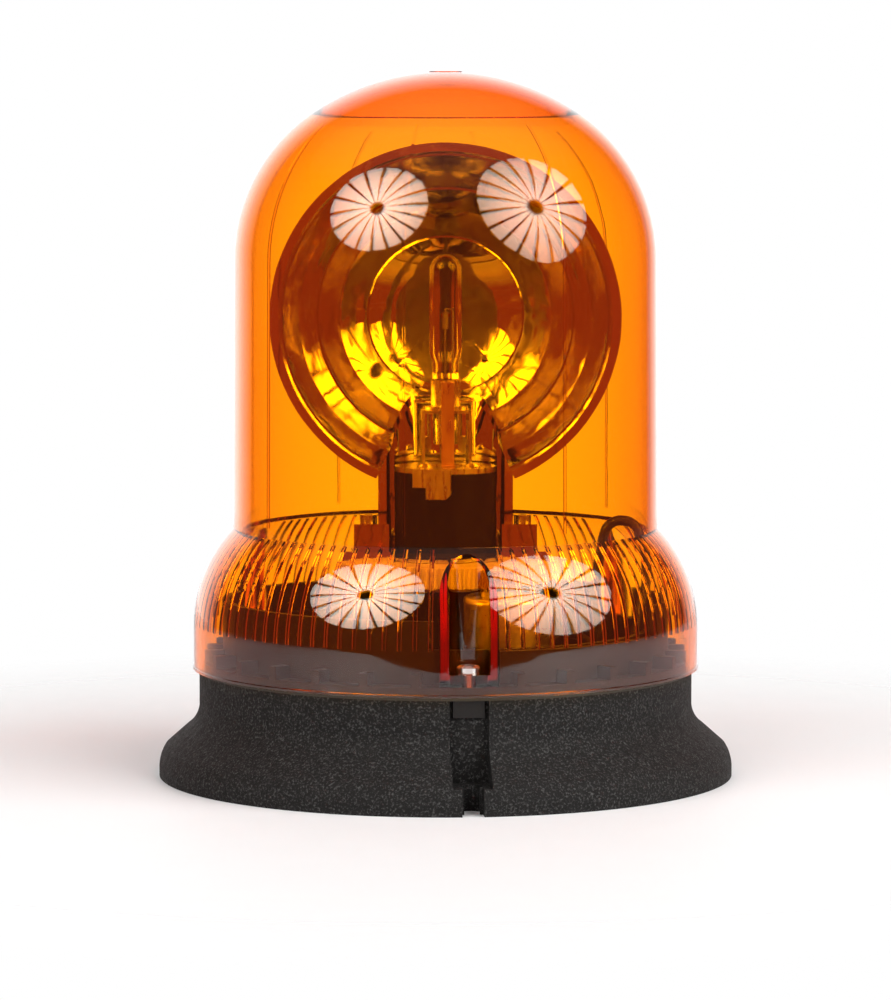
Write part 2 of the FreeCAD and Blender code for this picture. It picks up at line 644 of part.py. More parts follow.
def lamp_post():
    post = disc(POST_SHOULDER_R, FLOOR_TOP_Z, POST_SHOULDER_Z)
    post = post.fuse(disc(POST_R, POST_SHOULDER_Z - 1, POST_TOP_Z))
    ears = [disc(EAR_R, FLOOR_TOP_Z, FLOOR_TOP_Z + EAR_T, x, y) for x, y in ear_centres()]
    post = post.fuse(ears)
    ear_top = FLOOR_TOP_Z + EAR_T
    for x, y in ear_centres():
        post = post.cut(disc(SMALL_SCREW_R, 0, ear_top + 1, x, y))
        post = post.cut(disc(SMALL_HEAD_R + SMALL_HEAD_FIT, ear_top, ear_top + 5, x, y))
    post = post.cut(disc(POST_BORE_R, 0, POST_TOP_Z - POST_ROOF_T))
    post = post.cut(disc(POST_WIRE_HOLE_R, POST_TOP_Z - POST_ROOF_T - 1, POST_TOP_Z + 1, POST_WIRE_X))
    groove = tube(POST_R + 1, POST_R - RING_GROOVE_D, RING_LOW_Z, RING_LOW_Z + RING_T)
    post = post.cut(groove)
    turn = block(0, POST_SHOULDER_R + 8, -LEAD_DOOR_W / 2, LEAD_DOOR_W / 2,
                 FLOOR_TOP_Z - 1, FLOOR_TOP_Z + LEAD_DOOR_H)
    return post.cut(turned(turn, LEAD_DOOR_ANGLE))


def small_screw(x, y, seat, length):
    head = disc(SMALL_HEAD_R, seat, seat + SMALL_HEAD_H, x, y)
    head = head.makeChamfer(HEAD_CHAMFER, [head.Edges[0]])
    half = SMALL_SLOT_W / 2
    slot = block(x - SMALL_HEAD_R, x + SMALL_HEAD_R, y - half, y + half,
                 seat + SMALL_HEAD_H - SMALL_SLOT_D, seat + SMALL_HEAD_H + 1)
    return head.cut(slot).fuse(disc(SMALL_SCREW_R, seat - length, seat, x, y))


# ---- rotor ----

def thrust_washer():
    return tube(WASHER_R, POST_R + WASHER_FIT, POST_SHOULDER_Z, POST_SHOULDER_Z + WASHER_T)


def rotor_bush():
    sleeve = tube(BUSH_R, BUSH_IN_R, BUSH_LOW_Z, GEAR_TOP_Z)
    return sleeve.fuse(tube(BUSH_FLANGE_R, BUSH_IN_R, BUSH_LOW_Z, GEAR_LOW_Z))


def retaining_ring():
    ring = tube(POST_R + RING_STAND, POST_R - RING_GROOVE_D, RING_LOW_Z, RING_LOW_Z + RING_T)
    return ring.cut(block(0, POST_R + 5, -RING_GAP_W / 2, RING_GAP_W / 2, RING_LOW_Z - 1, RING_LOW_Z + 5))


def involute(angle):
    return math.tan(angle) - angle


def tooth_half_angle(radius, pitch_r, teeth):
    """Half the angle that one tooth covers at this radius."""
    base_r = pitch_r * math.cos(math.radians(PRESSURE_ANGLE))
    at_pitch = math.pi / (2 * teeth) - BACKLASH / (2 * pitch_r)
    flank = math.acos(min(1.0, base_r / radius))
    return at_pitch + involute(math.radians(PRESSURE_ANGLE)) - involute(flank)


def gear_blank(teeth, low, high, addendum, first_tooth):
    """Spur gear with involute flanks, one tooth centred on the plan angle first_tooth."""
    pitch_r = GEAR_MODULE * teeth / 2
    tip_r = pitch_r + addendum * GEAR_MODULE
    root_r = pitch_r - DEDENDUM * GEAR_MODULE
    base_r = pitch_r * math.cos(math.radians(PRESSURE_ANGLE))
    start_r = max(root_r + 0.05, base_r)
    flank_radii = [root_r, start_r, (start_r + tip_r) / 2, tip_r]
    if start_r <= root_r + 0.06:
        flank_radii = [root_r, pitch_r, tip_r]
    points = []
    for i in range(teeth):
        centre = math.radians(first_tooth) + 2 * math.pi * i / teeth
        half = [tooth_half_angle(max(r, base_r), pitch_r, teeth) for r in flank_radii]
        for r, h in zip(flank_radii, half):
            points.append(Vector(r * math.cos(centre - h), r * math.sin(centre - h), low))
        for r, h in zip(reversed(flank_radii), reversed(half)):
            points.append(Vector(r * math.cos(centre + h), r * math.sin(centre + h), low))
    face = Part.Face(Part.makePolygon(points + [points[0]]))
    return face.extrude(Vector(0, 0, high - low))


def drive_gear():
    gap_centred = MOTOR_ANGLE + 180.0 / GEAR_TEETH
    gear = gear_blank(GEAR_TEETH, GEAR_LOW_Z, GEAR_TOP_Z, GEAR_ADDENDUM, gap_centred)
    rim_in = GEAR_R - GEAR_RIM_W
    recess = tube(rim_in, GEAR_HUB_R, GEAR_LOW_Z - 1, GEAR_TOP_Z - GEAR_WEB_T)
    gear = gear.cut(recess).cut(disc(BUSH_R, GEAR_LOW_Z - 1, GEAR_TOP_Z + 1))
    for side in (-1, 1):
        x, y = plan(side * FOOT_SCREW_X, PARK_ANGLE)
        boss = disc(GEAR_BOSS_R, GEAR_LOW_Z, GEAR_TOP_Z, x, y)
        gear = gear.fuse(boss).cut(disc(SMALL_SCREW_R, GEAR_LOW_Z + BLIND_FLOOR, GEAR_TOP_Z + 1, x, y))
    return gear


def dish_depth(radius):
    """How far the mirror stands behind the axis at this radius."""
    return DISH_FOCUS - radius ** 2 / (4 * DISH_FOCUS)


def dish_profiles():
    """Mirror outline as zones between the steps, and the smooth back outline, as (radius, depth)."""
    mirror_rim = DISH_RIM_R - DISH_LIP_W
    bounds = [0.0] + DISH_STEPS + [mirror_rim]
    zones = []
    for i in range(len(bounds) - 1):
        shift = DISH_STEP * (1 - i % 2)
        start, end = bounds[i], bounds[i + 1]
        radii = (start, (start + end) / 2, end)
        zones.append([(r, dish_depth(r) - shift * (r - start) / (end - start)) for r in radii])
    zones[0] = crown(zones[0][0], zones[0][-1])
    return zones, mirror_rim


def crown(apex, end):
    """Start, middle and end of an arc centred on the dish's axis, from its apex to a point."""
    drop = apex[1] - end[1]
    radius = (end[0] ** 2 + drop ** 2) / (2 * drop)
    half_turn = math.asin(end[0] / radius) / 2
    middle = (radius * math.sin(half_turn), apex[1] - radius * (1 - math.cos(half_turn)))
    return [apex, middle, end]


def dish_solid(forward):
    """The dish turned about Y: the space before the mirror if forward, else the moulded shell."""
    zones, rim = dish_profiles()
    rim_y = dish_depth(rim)
    edges = []
    last = None
    for zone in zones:
        points = [Vector(r, y, 0) for r, y in zone]
        if last is not None and last.distanceToPoint(points[0]) > 1e-6:
            edges.append(Part.LineSegment(last, points[0]).toShape())
        edges.append(Part.Arc(*points).toShape())
        last = points[-1]
    if forward:
        far = Vector(rim, rim_y - 60, 0)
        edges.append(Part.LineSegment(last, far).toShape())
        edges.append(Part.LineSegment(far, Vector(0, far.y, 0)).toShape())
        edges.append(Part.LineSegment(Vector(0, far.y, 0), Vector(*zones[0][0], 0)).toShape())
    else:
        lip_front = Vector(DISH_RIM_R, last.y, 0)
        lip_back = Vector(DISH_RIM_R, last.y + DISH_LIP_T, 0)
        lip_in = Vector(rim + DISH_WALL * 0.6, last.y + DISH_LIP_T, 0)
        crown_r = DISH_STEPS[0]
        back = crown((0, DISH_FOCUS + DISH_WALL), (crown_r, dish_depth(crown_r) + DISH_WALL))
        back_points = [Vector(r, y, 0) for r, y in back]
        side_r = 0.5 * (crown_r + lip_in.x)
        side_mid = Vector(side_r + DISH_BACK_BOW, dish_depth(side_r) + DISH_WALL, 0)
        edges.append(Part.LineSegment(last, lip_front).toShape())
        edges.append(Part.LineSegment(lip_front, lip_back).toShape())
        edges.append(Part.LineSegment(lip_back, lip_in).toShape())
        edges.append(Part.Arc(lip_in, side_mid, back_points[2]).toShape())
        edges.append(Part.Arc(back_points[2], back_points[1], back_points[0]).toShape())
        edges.append(Part.LineSegment(back_points[0], Vector(*zones[0][0], 0)).toShape())
    face = Part.Face(Part.Wire(edges))
    solid = face.revolve(Vector(0, 0, 0), Vector(0, 1, 0), 360)
    solid.translate(Vector(0, 0, DISH_Z))
    return solid


def notch_prism():
    """V opening under the lamp, cut right through the dish from front to back."""
    drop = DISH_Z - DISH_RIM_R - 5
    slope = (NOTCH_LOW_W - NOTCH_TOP_W) / 2 / (NOTCH_TOP_Z - NOTCH_LOW_Z)
    low_half = NOTCH_TOP_W / 2 + slope * (NOTCH_TOP_Z - drop)
    top_half = NOTCH_TOP_W / 2
    corners = [(-top_half, NOTCH_TOP_Z), (top_half, NOTCH_TOP_Z), (low_half, drop), (-low_half, drop)]
    points = [Vector(x, -DISH_RIM_R, z) for x, z in corners]
    face = Part.Face(Part.makePolygon(points + [points[0]]))
    return face.extrude(Vector(0, DISH_RIM_R + NOTCH_BACK_Y, 0))


def reflector():
    shell = dish_solid(False).cut(notch_prism())
    shell = shell.cut(disc(LAMP_CLEAR_R, 0, LAMP_CLEAR_TOP_Z))
    neck_in = NECK_R - NECK_T
    neck = tube(NECK_R, neck_in, GEAR_TOP_Z, DISH_Z - NECK_UNDER_DISH)
    neck = neck.common(block(-NECK_R - 1, NECK_R + 1, -NECK_FRONT, NECK_R + 1, GEAR_TOP_Z, DISH_Z))
    neck = neck.cut(dish_solid(True))
    half_d = FOOT_PLATE_DEPTH / 2
    plate = block(-FOOT_PLATE_HALF, FOOT_PLATE_HALF, -half_d, half_d, GEAR_TOP_Z, FOOT_PLATE_TOP_Z)
    plate = plate.common(disc(FOOT_PLATE_HALF, 0, FOOT_PLATE_TOP_Z))
    parts = [neck, plate]
    for side in (-1, 1):
        low, high = sorted((side * FOOT_IN_X, side * FOOT_OUT_X))
        parts.append(block(low, high, -FOOT_DEPTH / 2, FOOT_DEPTH / 2, GEAR_TOP_Z, FOOT_TOP_Z))
    body = shell.fuse(parts).cut(disc(neck_in, 0, FOOT_TOP_Z + 4))
    for side in (-1, 1):
        x = side * FOOT_SCREW_X
        body = body.cut(disc(SMALL_SCREW_R, 0, FOOT_TOP_Z + 1, x))
        front = Vector(x, -FOOT_DEPTH / 2, FOOT_HOLE_Z)
        eye = Part.makeCylinder(FOOT_HOLE_R, FOOT_HOLE_D, front, Vector(0, 1, 0))
        body = body.cut(eye)
    return turned(body, PARK_ANGLE)


def reflector_screws():
    screws = []
    for side in (-1, 1):
        x = side * FOOT_SCREW_X
        head = disc(FOOT_SCREW_HEAD_R, FOOT_TOP_Z, FOOT_TOP_Z + FOOT_SCREW_HEAD_H, x)
        socket = disc(FOOT_SOCKET_R, FOOT_TOP_Z + FOOT_SOCKET_D, FOOT_TOP_Z + FOOT_SCREW_HEAD_H + 1, x)
        shank = disc(SMALL_SCREW_R, GEAR_LOW_Z + BLIND_FLOOR, FOOT_TOP_Z, x)
        screws.append(turned(head.cut(socket).fuse(shank), PARK_ANGLE))
    return screws


# ---- motor ----

def motor_can():
    can = disc(MOTOR_R, MOTOR_BOTTOM_Z, MOTOR_TOP_Z, MOTOR_X, MOTOR_Y)
    can = can.makeFillet(MOTOR_ROUND, [can.Edges[0]])
    boss = disc(MOTOR_BOSS_R, MOTOR_TOP_Z - 1, MOTOR_TOP_Z + MOTOR_BOSS_H, MOTOR_X, MOTOR_Y)
    can = can.fuse(boss)
    return can.cut(disc(SHAFT_R + RUN_FIT, SHAFT_LOW_Z - SHAFT_FLOOR, MOTOR_TOP_Z + 5, MOTOR_X, MOTOR_Y))


def motor_end_cap():
    cap = disc(END_CAP_R, END_CAP_LOW_Z, MOTOR_BOTTOM_Z, MOTOR_X, MOTOR_Y)
    tab_x = MOTOR_X + END_CAP_R - 1
    tab_low = END_CAP_LOW_Z + END_TAB_RISE
    tab_top = tab_low + END_TAB_T
    half = END_TAB_W / 2
    return cap.fuse(block(tab_x, tab_x + END_TAB_L, MOTOR_Y - half, MOTOR_Y + half, tab_low, tab_top))


def motor_shaft():
    return disc(SHAFT_R, SHAFT_LOW_Z, PINION_LOW_Z + PINION_T + SHAFT_FLOOR, MOTOR_X, MOTOR_Y)


def motor_pinion():
    pinion = gear_blank(PINION_TEETH, PINION_LOW_Z, PINION_LOW_Z + PINION_T, PINION_ADDENDUM,
                        MOTOR_ANGLE + 180)
    pinion.translate(Vector(MOTOR_X, MOTOR_Y, 0))
    return pinion.cut(disc(SHAFT_R, 0, MOTOR_TOP_Z + 20, MOTOR_X, MOTOR_Y))


def motor_clamp():
    low = CUP_TOP_Z
    high = low + CLAMP_T
    ring = disc(CUP_R, low, high, MOTOR_X, MOTOR_Y)
    ring = ring.fuse([disc(CLAMP_EAR_R, low, high, x, y) for x, y in clamp_ear_centres()])
    ring = ring.cut(disc(MOTOR_R, low - 1, high + 1, MOTOR_X, MOTOR_Y))
    split_x, split_y = plan(CUP_R, MOTOR_ANGLE)
    split = disc(CLAMP_SPLIT_W, low - 1, high + 1, MOTOR_X + split_x, MOTOR_Y + split_y)
    for x, y in clamp_ear_centres():
        ring = ring.cut(disc(SMALL_SCREW_R, low - 1, high + 1, x, y))
    return ring.cut(split)


# ---- lamp holder and bulb ----

def holder_plate():
    plate = disc(PLATE_R, POST_TOP_Z, PLATE_TOP_Z)
    low = PLATE_TOP_Z - TAB_DROP
    half = TAB_W / 2
    corners = [
        (-half, PLATE_TOP_Z), (half, PLATE_TOP_Z), (half, low + TAB_CHAMFER), (half - TAB_CHAMFER, low),
        (-half + TAB_NOTCH_W, low), (-half + TAB_NOTCH_W, low + TAB_NOTCH_H), (-half, low + TAB_NOTCH_H),
    ]
    points = [Vector(PLATE_R + TAB_BEND, y, z) for y, z in corners]
    tab = Part.Face(Part.makePolygon(points + [points[0]])).extrude(Vector(TAB_T, 0, 0))
    root = block(0, PLATE_R + TAB_BEND + TAB_T, -half, half, POST_TOP_Z, PLATE_TOP_Z)
    plate = plate.fuse([turned(root.cut(disc(1, 0, 200)), TAB_ANGLE), turned(tab, TAB_ANGLE)])
    for side in (-1, 1):
        screw_x = side * PLATE_SCREW_X
        plate = plate.cut(disc(SMALL_SCREW_R, POST_TOP_Z - 1, PLATE_TOP_Z + 1, screw_x, PLATE_SCREW_Y))
    return plate.cut(disc(POST_WIRE_HOLE_R, POST_TOP_Z - 1, PLATE_TOP_Z + 1, POST_WIRE_X))


def holder_screw(x):
    dome = disc(PLATE_SCREW_DOME_R, PLATE_TOP_Z, PLATE_TOP_Z + PLATE_SCREW_DOME_H, x, PLATE_SCREW_Y)
    dome = dome.makeChamfer(PLATE_SCREW_ROUND, [dome.Edges[0]])
    return dome.fuse(disc(SMALL_SCREW_R, POST_TOP_Z, PLATE_TOP_Z, x, PLATE_SCREW_Y))


def bulb_bracket():
    """Folded sheet that holds the bulb's flange up between two windowed walls."""
    half_d = BRACKET_DEPTH / 2
    base = block(-BRACKET_HALF, BRACKET_HALF, -half_d, half_d, PLATE_TOP_Z, PLATE_TOP_Z + BRACKET_T)
    top = block(-BRACKET_HALF, BRACKET_HALF, -half_d, half_d, BRACKET_TOP_Z - BRACKET_T, BRACKET_TOP_Z)
    body = base.fuse(top)
    for side in (-1, 1):
        x0, x1 = sorted((side * BRACKET_HALF, side * (BRACKET_HALF - BRACKET_T)))
        body = body.fuse(block(x0, x1, -half_d, half_d, PLATE_TOP_Z, BRACKET_TOP_Z))
        window = block(x0 - 1, x1 + 1, -WINDOW_W / 2, WINDOW_W / 2, WINDOW_LOW_Z, WINDOW_TOP_Z)
        body = body.cut(window)
    pin_from = Vector(-CLIP_X, CLIP_PIVOT_Y, CLIP_PIVOT_Z)
    pin_hole = Part.makeCylinder(CLIP_WIRE_R + RUN_FIT, 2 * CLIP_X, pin_from, Vector(1, 0, 0))
    body = body.cut(pin_hole).cut(disc(CAP_TAIL_R + CAP_TAIL_FIT, BRACKET_TOP_Z - 2, BRACKET_TOP_Z + 1))
    return body.cut(disc(POST_WIRE_HOLE_R, PLATE_TOP_Z - 1, PLATE_TOP_Z + 2, POST_WIRE_X))


def contact_strip():
    """Live contact: a sprung strip in front of the bracket with its foot on the plate."""
    half = STRIP_W / 2
    front = STRIP_Y - STRIP_T
    foot = block(-half, half, STRIP_Y - STRIP_FOOT_L, STRIP_Y, PLATE_TOP_Z, PLATE_TOP_Z + STRIP_T)
    upright = block(-half, half, front, STRIP_Y, PLATE_TOP_Z, STRIP_TOP_Z)
    arm = block(-half, half, front, STRIP_BITE - BULB_CAP_R, STRIP_TOP_Z - STRIP_T, STRIP_TOP_Z)
    return foot.fuse([upright, arm]).cut(disc(BULB_CAP_R, BRACKET_TOP_Z, STRIP_TOP_Z + 1))


def bulb_cap():
    flange = disc(CAP_FLANGE_R, BRACKET_TOP_Z, BRACKET_TOP_Z + CAP_FLANGE_T)
    barrel = disc(BULB_CAP_R, BRACKET_TOP_Z, BULB_CAP_TOP_Z)
    tail = disc(CAP_TAIL_R, CAP_TAIL_LOW_Z, BRACKET_TOP_Z)
    tab = block(-CAP_TAB_W / 2, CAP_TAB_W / 2, -CAP_TAB_T / 2, CAP_TAB_T / 2, CAP_TAB_LOW_Z, CAP_TAIL_LOW_Z)
    flat = block(-CAP_FLANGE_R - 1, CAP_FLANGE_R + 1, CAP_FLANGE_R - CAP_FLAT, CAP_FLANGE_R + 1,
                 0, BULB_CAP_TOP_Z)
    return flange.cut(flat).fuse([barrel, tail, tab])


def glass_outline(inset):
    """Bulb section: straight neck, swelling to a barrel with a domed tip."""
    low = BULB_CAP_TOP_Z + (GLASS_SEAL_H if inset else 0)
    neck = GLASS_NECK_R - inset
    barrel = GLASS_R - inset
    round_z = GLASS_TOP_Z - GLASS_R
    swell = GLASS_NECK_Z + GLASS_SWELL_H
    return [
        line((0, low), (neck, low)),
        line((neck, low), (neck, GLASS_NECK_Z)),
        line((neck, GLASS_NECK_Z), (barrel, swell)),
        line((barrel, swell), (barrel, round_z)),
        arc((0, round_z), barrel, 0, 90),
        line((0, round_z + barrel), (0, low)),
    ]


def bulb_glass():
    return spun(glass_outline(0)).cut(spun(glass_outline(GLASS_WALL)))


def bulb_filament():
    """Coil on the lamp's axis, its lower lead straight below and its upper lead beside it."""
    low = BULB_CAP_TOP_Z + GLASS_SEAL_H
    coil_low = FILAMENT_Z - FILAMENT_L / 2
    coil_high = FILAMENT_Z + FILAMENT_L / 2
    bridge_low = coil_high + 0.6
    half = FILAMENT_WIRE_R * 0.6
    coil = disc(FILAMENT_R, coil_low, coil_high)
    lower_lead = disc(FILAMENT_WIRE_R, low, coil_low + 0.2)
    upper_lead = disc(FILAMENT_WIRE_R, low, bridge_low + 0.5, FILAMENT_REACH)
    bridge = block(0, FILAMENT_REACH, -half, half, bridge_low, bridge_low + 2 * half)
    drop = disc(FILAMENT_WIRE_R, coil_high - 0.2, bridge_low + 0.5)
    return coil.fuse([lower_lead, upper_lead, bridge, drop])


def bulb_clip():
    """Wire bail that holds the bulb's flange down, hooked into the bracket's walls."""
    bar_z = BRACKET_TOP_Z + CAP_FLANGE_T + CLIP_WIRE_R + CLIP_BAR_ABOVE
    body = Part.makeCylinder(CLIP_WIRE_R, 2 * CLIP_X, Vector(-CLIP_X, CLIP_BAR_Y, bar_z), Vector(1, 0, 0))
    lean = Vector(0, CLIP_BAR_Y - CLIP_PIVOT_Y, bar_z - CLIP_PIVOT_Z)
    pin_length = CLIP_X - BRACKET_HALF + BRACKET_T + CLIP_PIN_REACH
    for side in (-1, 1):
        foot = Vector(side * CLIP_X, CLIP_PIVOT_Y, CLIP_PIVOT_Z)
        leg = Part.makeCylinder(CLIP_WIRE_R, lean.Length, foot, lean)
        pin = Part.makeCylinder(CLIP_WIRE_R, pin_length, foot, Vector(-side, 0, 0))
        ends = [Part.makeSphere(CLIP_WIRE_R, foot), Part.makeSphere(CLIP_WIRE_R, foot + lean)]
        body = body.fuse([leg, pin] + ends)
    return body


# ---- wiring ----

def terminal_block():
    body = block(BLOCK_X, BLOCK_X + BLOCK_L, BLOCK_LOW_Y, BLOCK_LOW_Y + BLOCK_W, FLOOR_TOP_Z, BLOCK_TOP_Z)
    slit_y = BLOCK_LOW_Y + BLOCK_W / 2
    half = BLOCK_SLIT_W / 2
    slit_low = BLOCK_TOP_Z - BLOCK_SLIT_D
    slit_end = BLOCK_X + BLOCK_L + 1
    return body.cut(block(BLOCK_X - 1, slit_end, slit_y - half, slit_y + half, slit_low, BLOCK_TOP_Z + 1))


def terminal_lugs():
    places = (LUG_SHARE, 1 - LUG_SHARE)
    return [disc(LUG_R, BLOCK_TOP_Z, LUG_TOP_Z, LUG_X, BLOCK_LOW_Y + BLOCK_W * share) for share in places]


def lead(points, radius, name):
    """Tube along straight runs joined by tangent arcs, each as large as its two runs allow."""
    corners = [Vector(*p) for p in points]
    edges = []
    radii = []
    last = corners[0]
    for i in range(1, len(corners) - 1):
        back = (corners[i - 1] - corners[i])
        ahead = (corners[i + 1] - corners[i])
        reach = 0.45 * min(back.Length, ahead.Length)
        back.normalize()
        ahead.normalize()
        start = corners[i] + back * reach
        end = corners[i] + ahead * reach
        half_turn = (math.pi - back.getAngle(ahead)) / 2
        bend = reach / math.tan(half_turn)
        inward = (back + ahead).normalize()
        centre = corners[i] + inward * math.hypot(reach, bend)
        middle = centre - inward * bend
        edges.append(Part.LineSegment(last, start).toShape())
        edges.append(Part.Arc(start, middle, end).toShape())
        radii.append(round(bend, 1))
        last = end
    edges.append(Part.LineSegment(last, corners[-1]).toShape())
    path = Part.Wire(edges)
    first = corners[1] - corners[0]
    section = Part.Wire(Part.makeCircle(radius, corners[0], first))
    solid = path.makePipeShell([section], True, False, 1)
    ratio = solid.Volume / (math.pi * radius ** 2 * path.Length)
    print(name, "length", round(path.Length, 1), "bend radii", radii, "volume ratio", round(ratio, 3))
    return solid


def motor_lead():
    """From the terminal block, up in a spare loop beside the dome's foot, and down to the motor."""
    y = BLOCK_LOW_Y + BLOCK_W * LUG_SHARE
    wall = TUB_IN_R
    tab_z = END_CAP_LOW_Z + END_TAB_RISE + END_TAB_T / 2
    tab_x = MOTOR_X + END_CAP_R - 1 + END_TAB_L
    return lead([
        (LUG_X, y, LUG_TOP_Z), (LUG_X, y, LUG_TOP_Z + 15), (LUG_X - 0.7, 0.5, LUG_TOP_Z + 31),
        (wall - 10.6, 0, BULGE_Z + 31), (wall - 1.6, -2, BULGE_Z + 30.6), (wall + 1, -5, BULGE_Z + 15.5),
        (wall - 3.2, -9.5, BULGE_Z + 0.5), (wall - 5.7, -14, tab_z + 13.3), (wall - 9.2, -21, tab_z - 0.2),
        (wall - 16.2, MOTOR_Y + 3.8, tab_z + 0.4), (tab_x + 6.0, MOTOR_Y, tab_z), (tab_x, MOTOR_Y, tab_z),
    ], LEAD_R, "motor_lead")


def lamp_lead():
    """From the terminal block along the floor and up inside the post to the lamp."""
    y = BLOCK_LOW_Y + BLOCK_W * (1 - LUG_SHARE)
    top = POST_TOP_Z - POST_ROOF_T
    door_z = FLOOR_TOP_Z + LEAD_DOOR_H / 2
    return lead([
        (LUG_X, y, LUG_TOP_Z), (LUG_X, y, LUG_TOP_Z + 9), (LUG_X - 7.5, 12.5, LUG_TOP_Z + 12.5),
        (LUG_X - 15, 16, LUG_TOP_Z + 2), (27.5, 15.4, door_z + 6.5), (19.5, 11, door_z - 0.3),
        (8, 4.7, door_z + 1.5), (4.4, 2.3, top - 63), (POST_WIRE_X + 0.3, -1, top - 44),
        (POST_WIRE_X, 0, top - 20), (POST_WIRE_X, 0, top),
    ], LAMP_LEAD_R, "lamp_lead")


def main():
    os.makedirs("parts", exist_ok=True)
    save("rubber_base", rubber_base())
    save("chassis", chassis())
    save("lens_dome", lens_dome())
    save("lens_gasket", lens_gasket())
    save("lens_screws", [turned(lens_screw(), angle) for angle in fixing_angles()])
    save("cable_grommet", cable_grommet())
    save("lamp_post", lamp_post())
    post_seat = FLOOR_TOP_Z + EAR_T
    post_reach = EAR_T + FLOOR_T - FLOOR_SKIN
    save("post_screws", [small_screw(x, y, post_seat, post_reach) for x, y in ear_centres()])
    save("thrust_washer", thrust_washer())
    save("rotor_bush", rotor_bush())
    save("retaining_ring", retaining_ring())
    save("drive_gear", drive_gear())
    save("reflector", reflector())
    save("reflector_screws", reflector_screws())
    save("motor_can", motor_can())
    save("motor_end_cap", motor_end_cap())
    save("motor_shaft", motor_shaft())
    save("motor_pinion", motor_pinion())
    save("motor_clamp", motor_clamp())
    clamp_seat = CUP_TOP_Z + CLAMP_T
    clamp_reach = CLAMP_T + CLAMP_SCREW_L
    save("clamp_screws", [small_screw(x, y, clamp_seat, clamp_reach) for x, y in clamp_ear_centres()])
    save("holder_plate", holder_plate())
    save("holder_screws", [holder_screw(side * PLATE_SCREW_X) for side in (-1, 1)])
    save("bulb_bracket", bulb_bracket())
    save("contact_strip", contact_strip())
    save("bulb_cap", bulb_cap())
    save("bulb_glass", bulb_glass())
    save("bulb_filament", bulb_filament())
    save("bulb_clip", bulb_clip())
    save("terminal_block", terminal_block())
    save("terminal_lugs", terminal_lugs())
    save("motor_lead", motor_lead())
    save("lamp_lead", lamp_lead())


main()
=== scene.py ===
# %% [markdown]
# # A rotating beacon
#
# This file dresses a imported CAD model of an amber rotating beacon. The CAD model stays where it is and
# gives every size. Here each solid gets its finish. The ribbed amber lens, whose look depends on a
# clear wall and on very fine forms, is modelled again over its solid.

import json
import math

import bmesh
import bpy
from mathutils import Matrix, Vector


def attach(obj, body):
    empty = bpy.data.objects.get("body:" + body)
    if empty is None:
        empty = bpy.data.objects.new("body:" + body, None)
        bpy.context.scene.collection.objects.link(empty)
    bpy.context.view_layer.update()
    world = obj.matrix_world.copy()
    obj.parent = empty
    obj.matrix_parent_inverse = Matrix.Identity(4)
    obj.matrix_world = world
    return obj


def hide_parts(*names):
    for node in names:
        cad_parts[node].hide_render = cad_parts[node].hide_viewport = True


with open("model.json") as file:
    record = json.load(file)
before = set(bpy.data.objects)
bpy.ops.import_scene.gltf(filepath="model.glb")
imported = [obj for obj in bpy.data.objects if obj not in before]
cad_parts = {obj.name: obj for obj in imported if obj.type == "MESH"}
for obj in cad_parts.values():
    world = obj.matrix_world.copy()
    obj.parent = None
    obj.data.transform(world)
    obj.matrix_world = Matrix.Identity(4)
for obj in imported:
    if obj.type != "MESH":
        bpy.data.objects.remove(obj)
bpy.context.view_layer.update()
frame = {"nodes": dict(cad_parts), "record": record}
MM = 0.001
WHITE = (1.0, 1.0, 1.0)
print("nodes in the frame:", len(frame["nodes"]))

# %% [markdown]
# ## Camera
#
# The beacon is seen from the front, a little from the left of its front screw, and slightly from above.
# A long lens from over a metre away keeps the upright sides of the dome almost parallel. The camera
# could be aimed with a constraint, but turning it once towards a point leaves nothing that has to be
# solved later.

# %% Place the camera
CAMERA_AT = Vector((-0.117, -1.263, 0.193))
LOOK_AT = Vector((0.0, 0.0, 0.0812))
FOCAL_LENGTH = 154.8
SENSOR_WIDTH = 36.0

camera_data = bpy.data.cameras.new("camera")
camera_data.lens = FOCAL_LENGTH
camera_data.sensor_width = SENSOR_WIDTH
camera = bpy.data.objects.new("camera", camera_data)
bpy.context.collection.objects.link(camera)
camera.location = CAMERA_AT
camera.rotation_euler = (LOOK_AT - CAMERA_AT).to_track_quat("-Z", "Y").to_euler()
bpy.context.scene.camera = camera
bpy.context.scene.view_settings.view_transform = "Standard"
print("camera distance in metres:", round((LOOK_AT - CAMERA_AT).length, 3))

# %% [markdown]
# ## Helpers for node trees
#
# The backdrop, the lamps and every finish below are small node trees. These helpers keep the cells
# short: each one makes a node, connects what it is given, and returns the socket that comes out. The
# nodes could also be placed by hand in the editor, but written out they can be read, changed and
# repeated.

# %% Node helpers
def add(tree, kind, **inputs):
    """Adds a node and sets the inputs named, with _ for a space."""
    node = tree.nodes.new(kind)
    for key, value in inputs.items():
        node.inputs[key.replace("_", " ")].default_value = value
    return node


def join(tree, source, target):
    tree.links.new(source, target)


def feed(tree, value, target):
    """Puts a socket, a number or a colour into an input."""
    if isinstance(value, bpy.types.NodeSocket):
        join(tree, value, target)
    elif isinstance(value, tuple):
        target.default_value = (*value, 1.0)
    else:
        target.default_value = value


def maths(tree, operation, *values):
    node = tree.nodes.new("ShaderNodeMath")
    node.operation = operation
    for value, target in zip(values, node.inputs):
        feed(tree, value, target)
    return node.outputs[0]


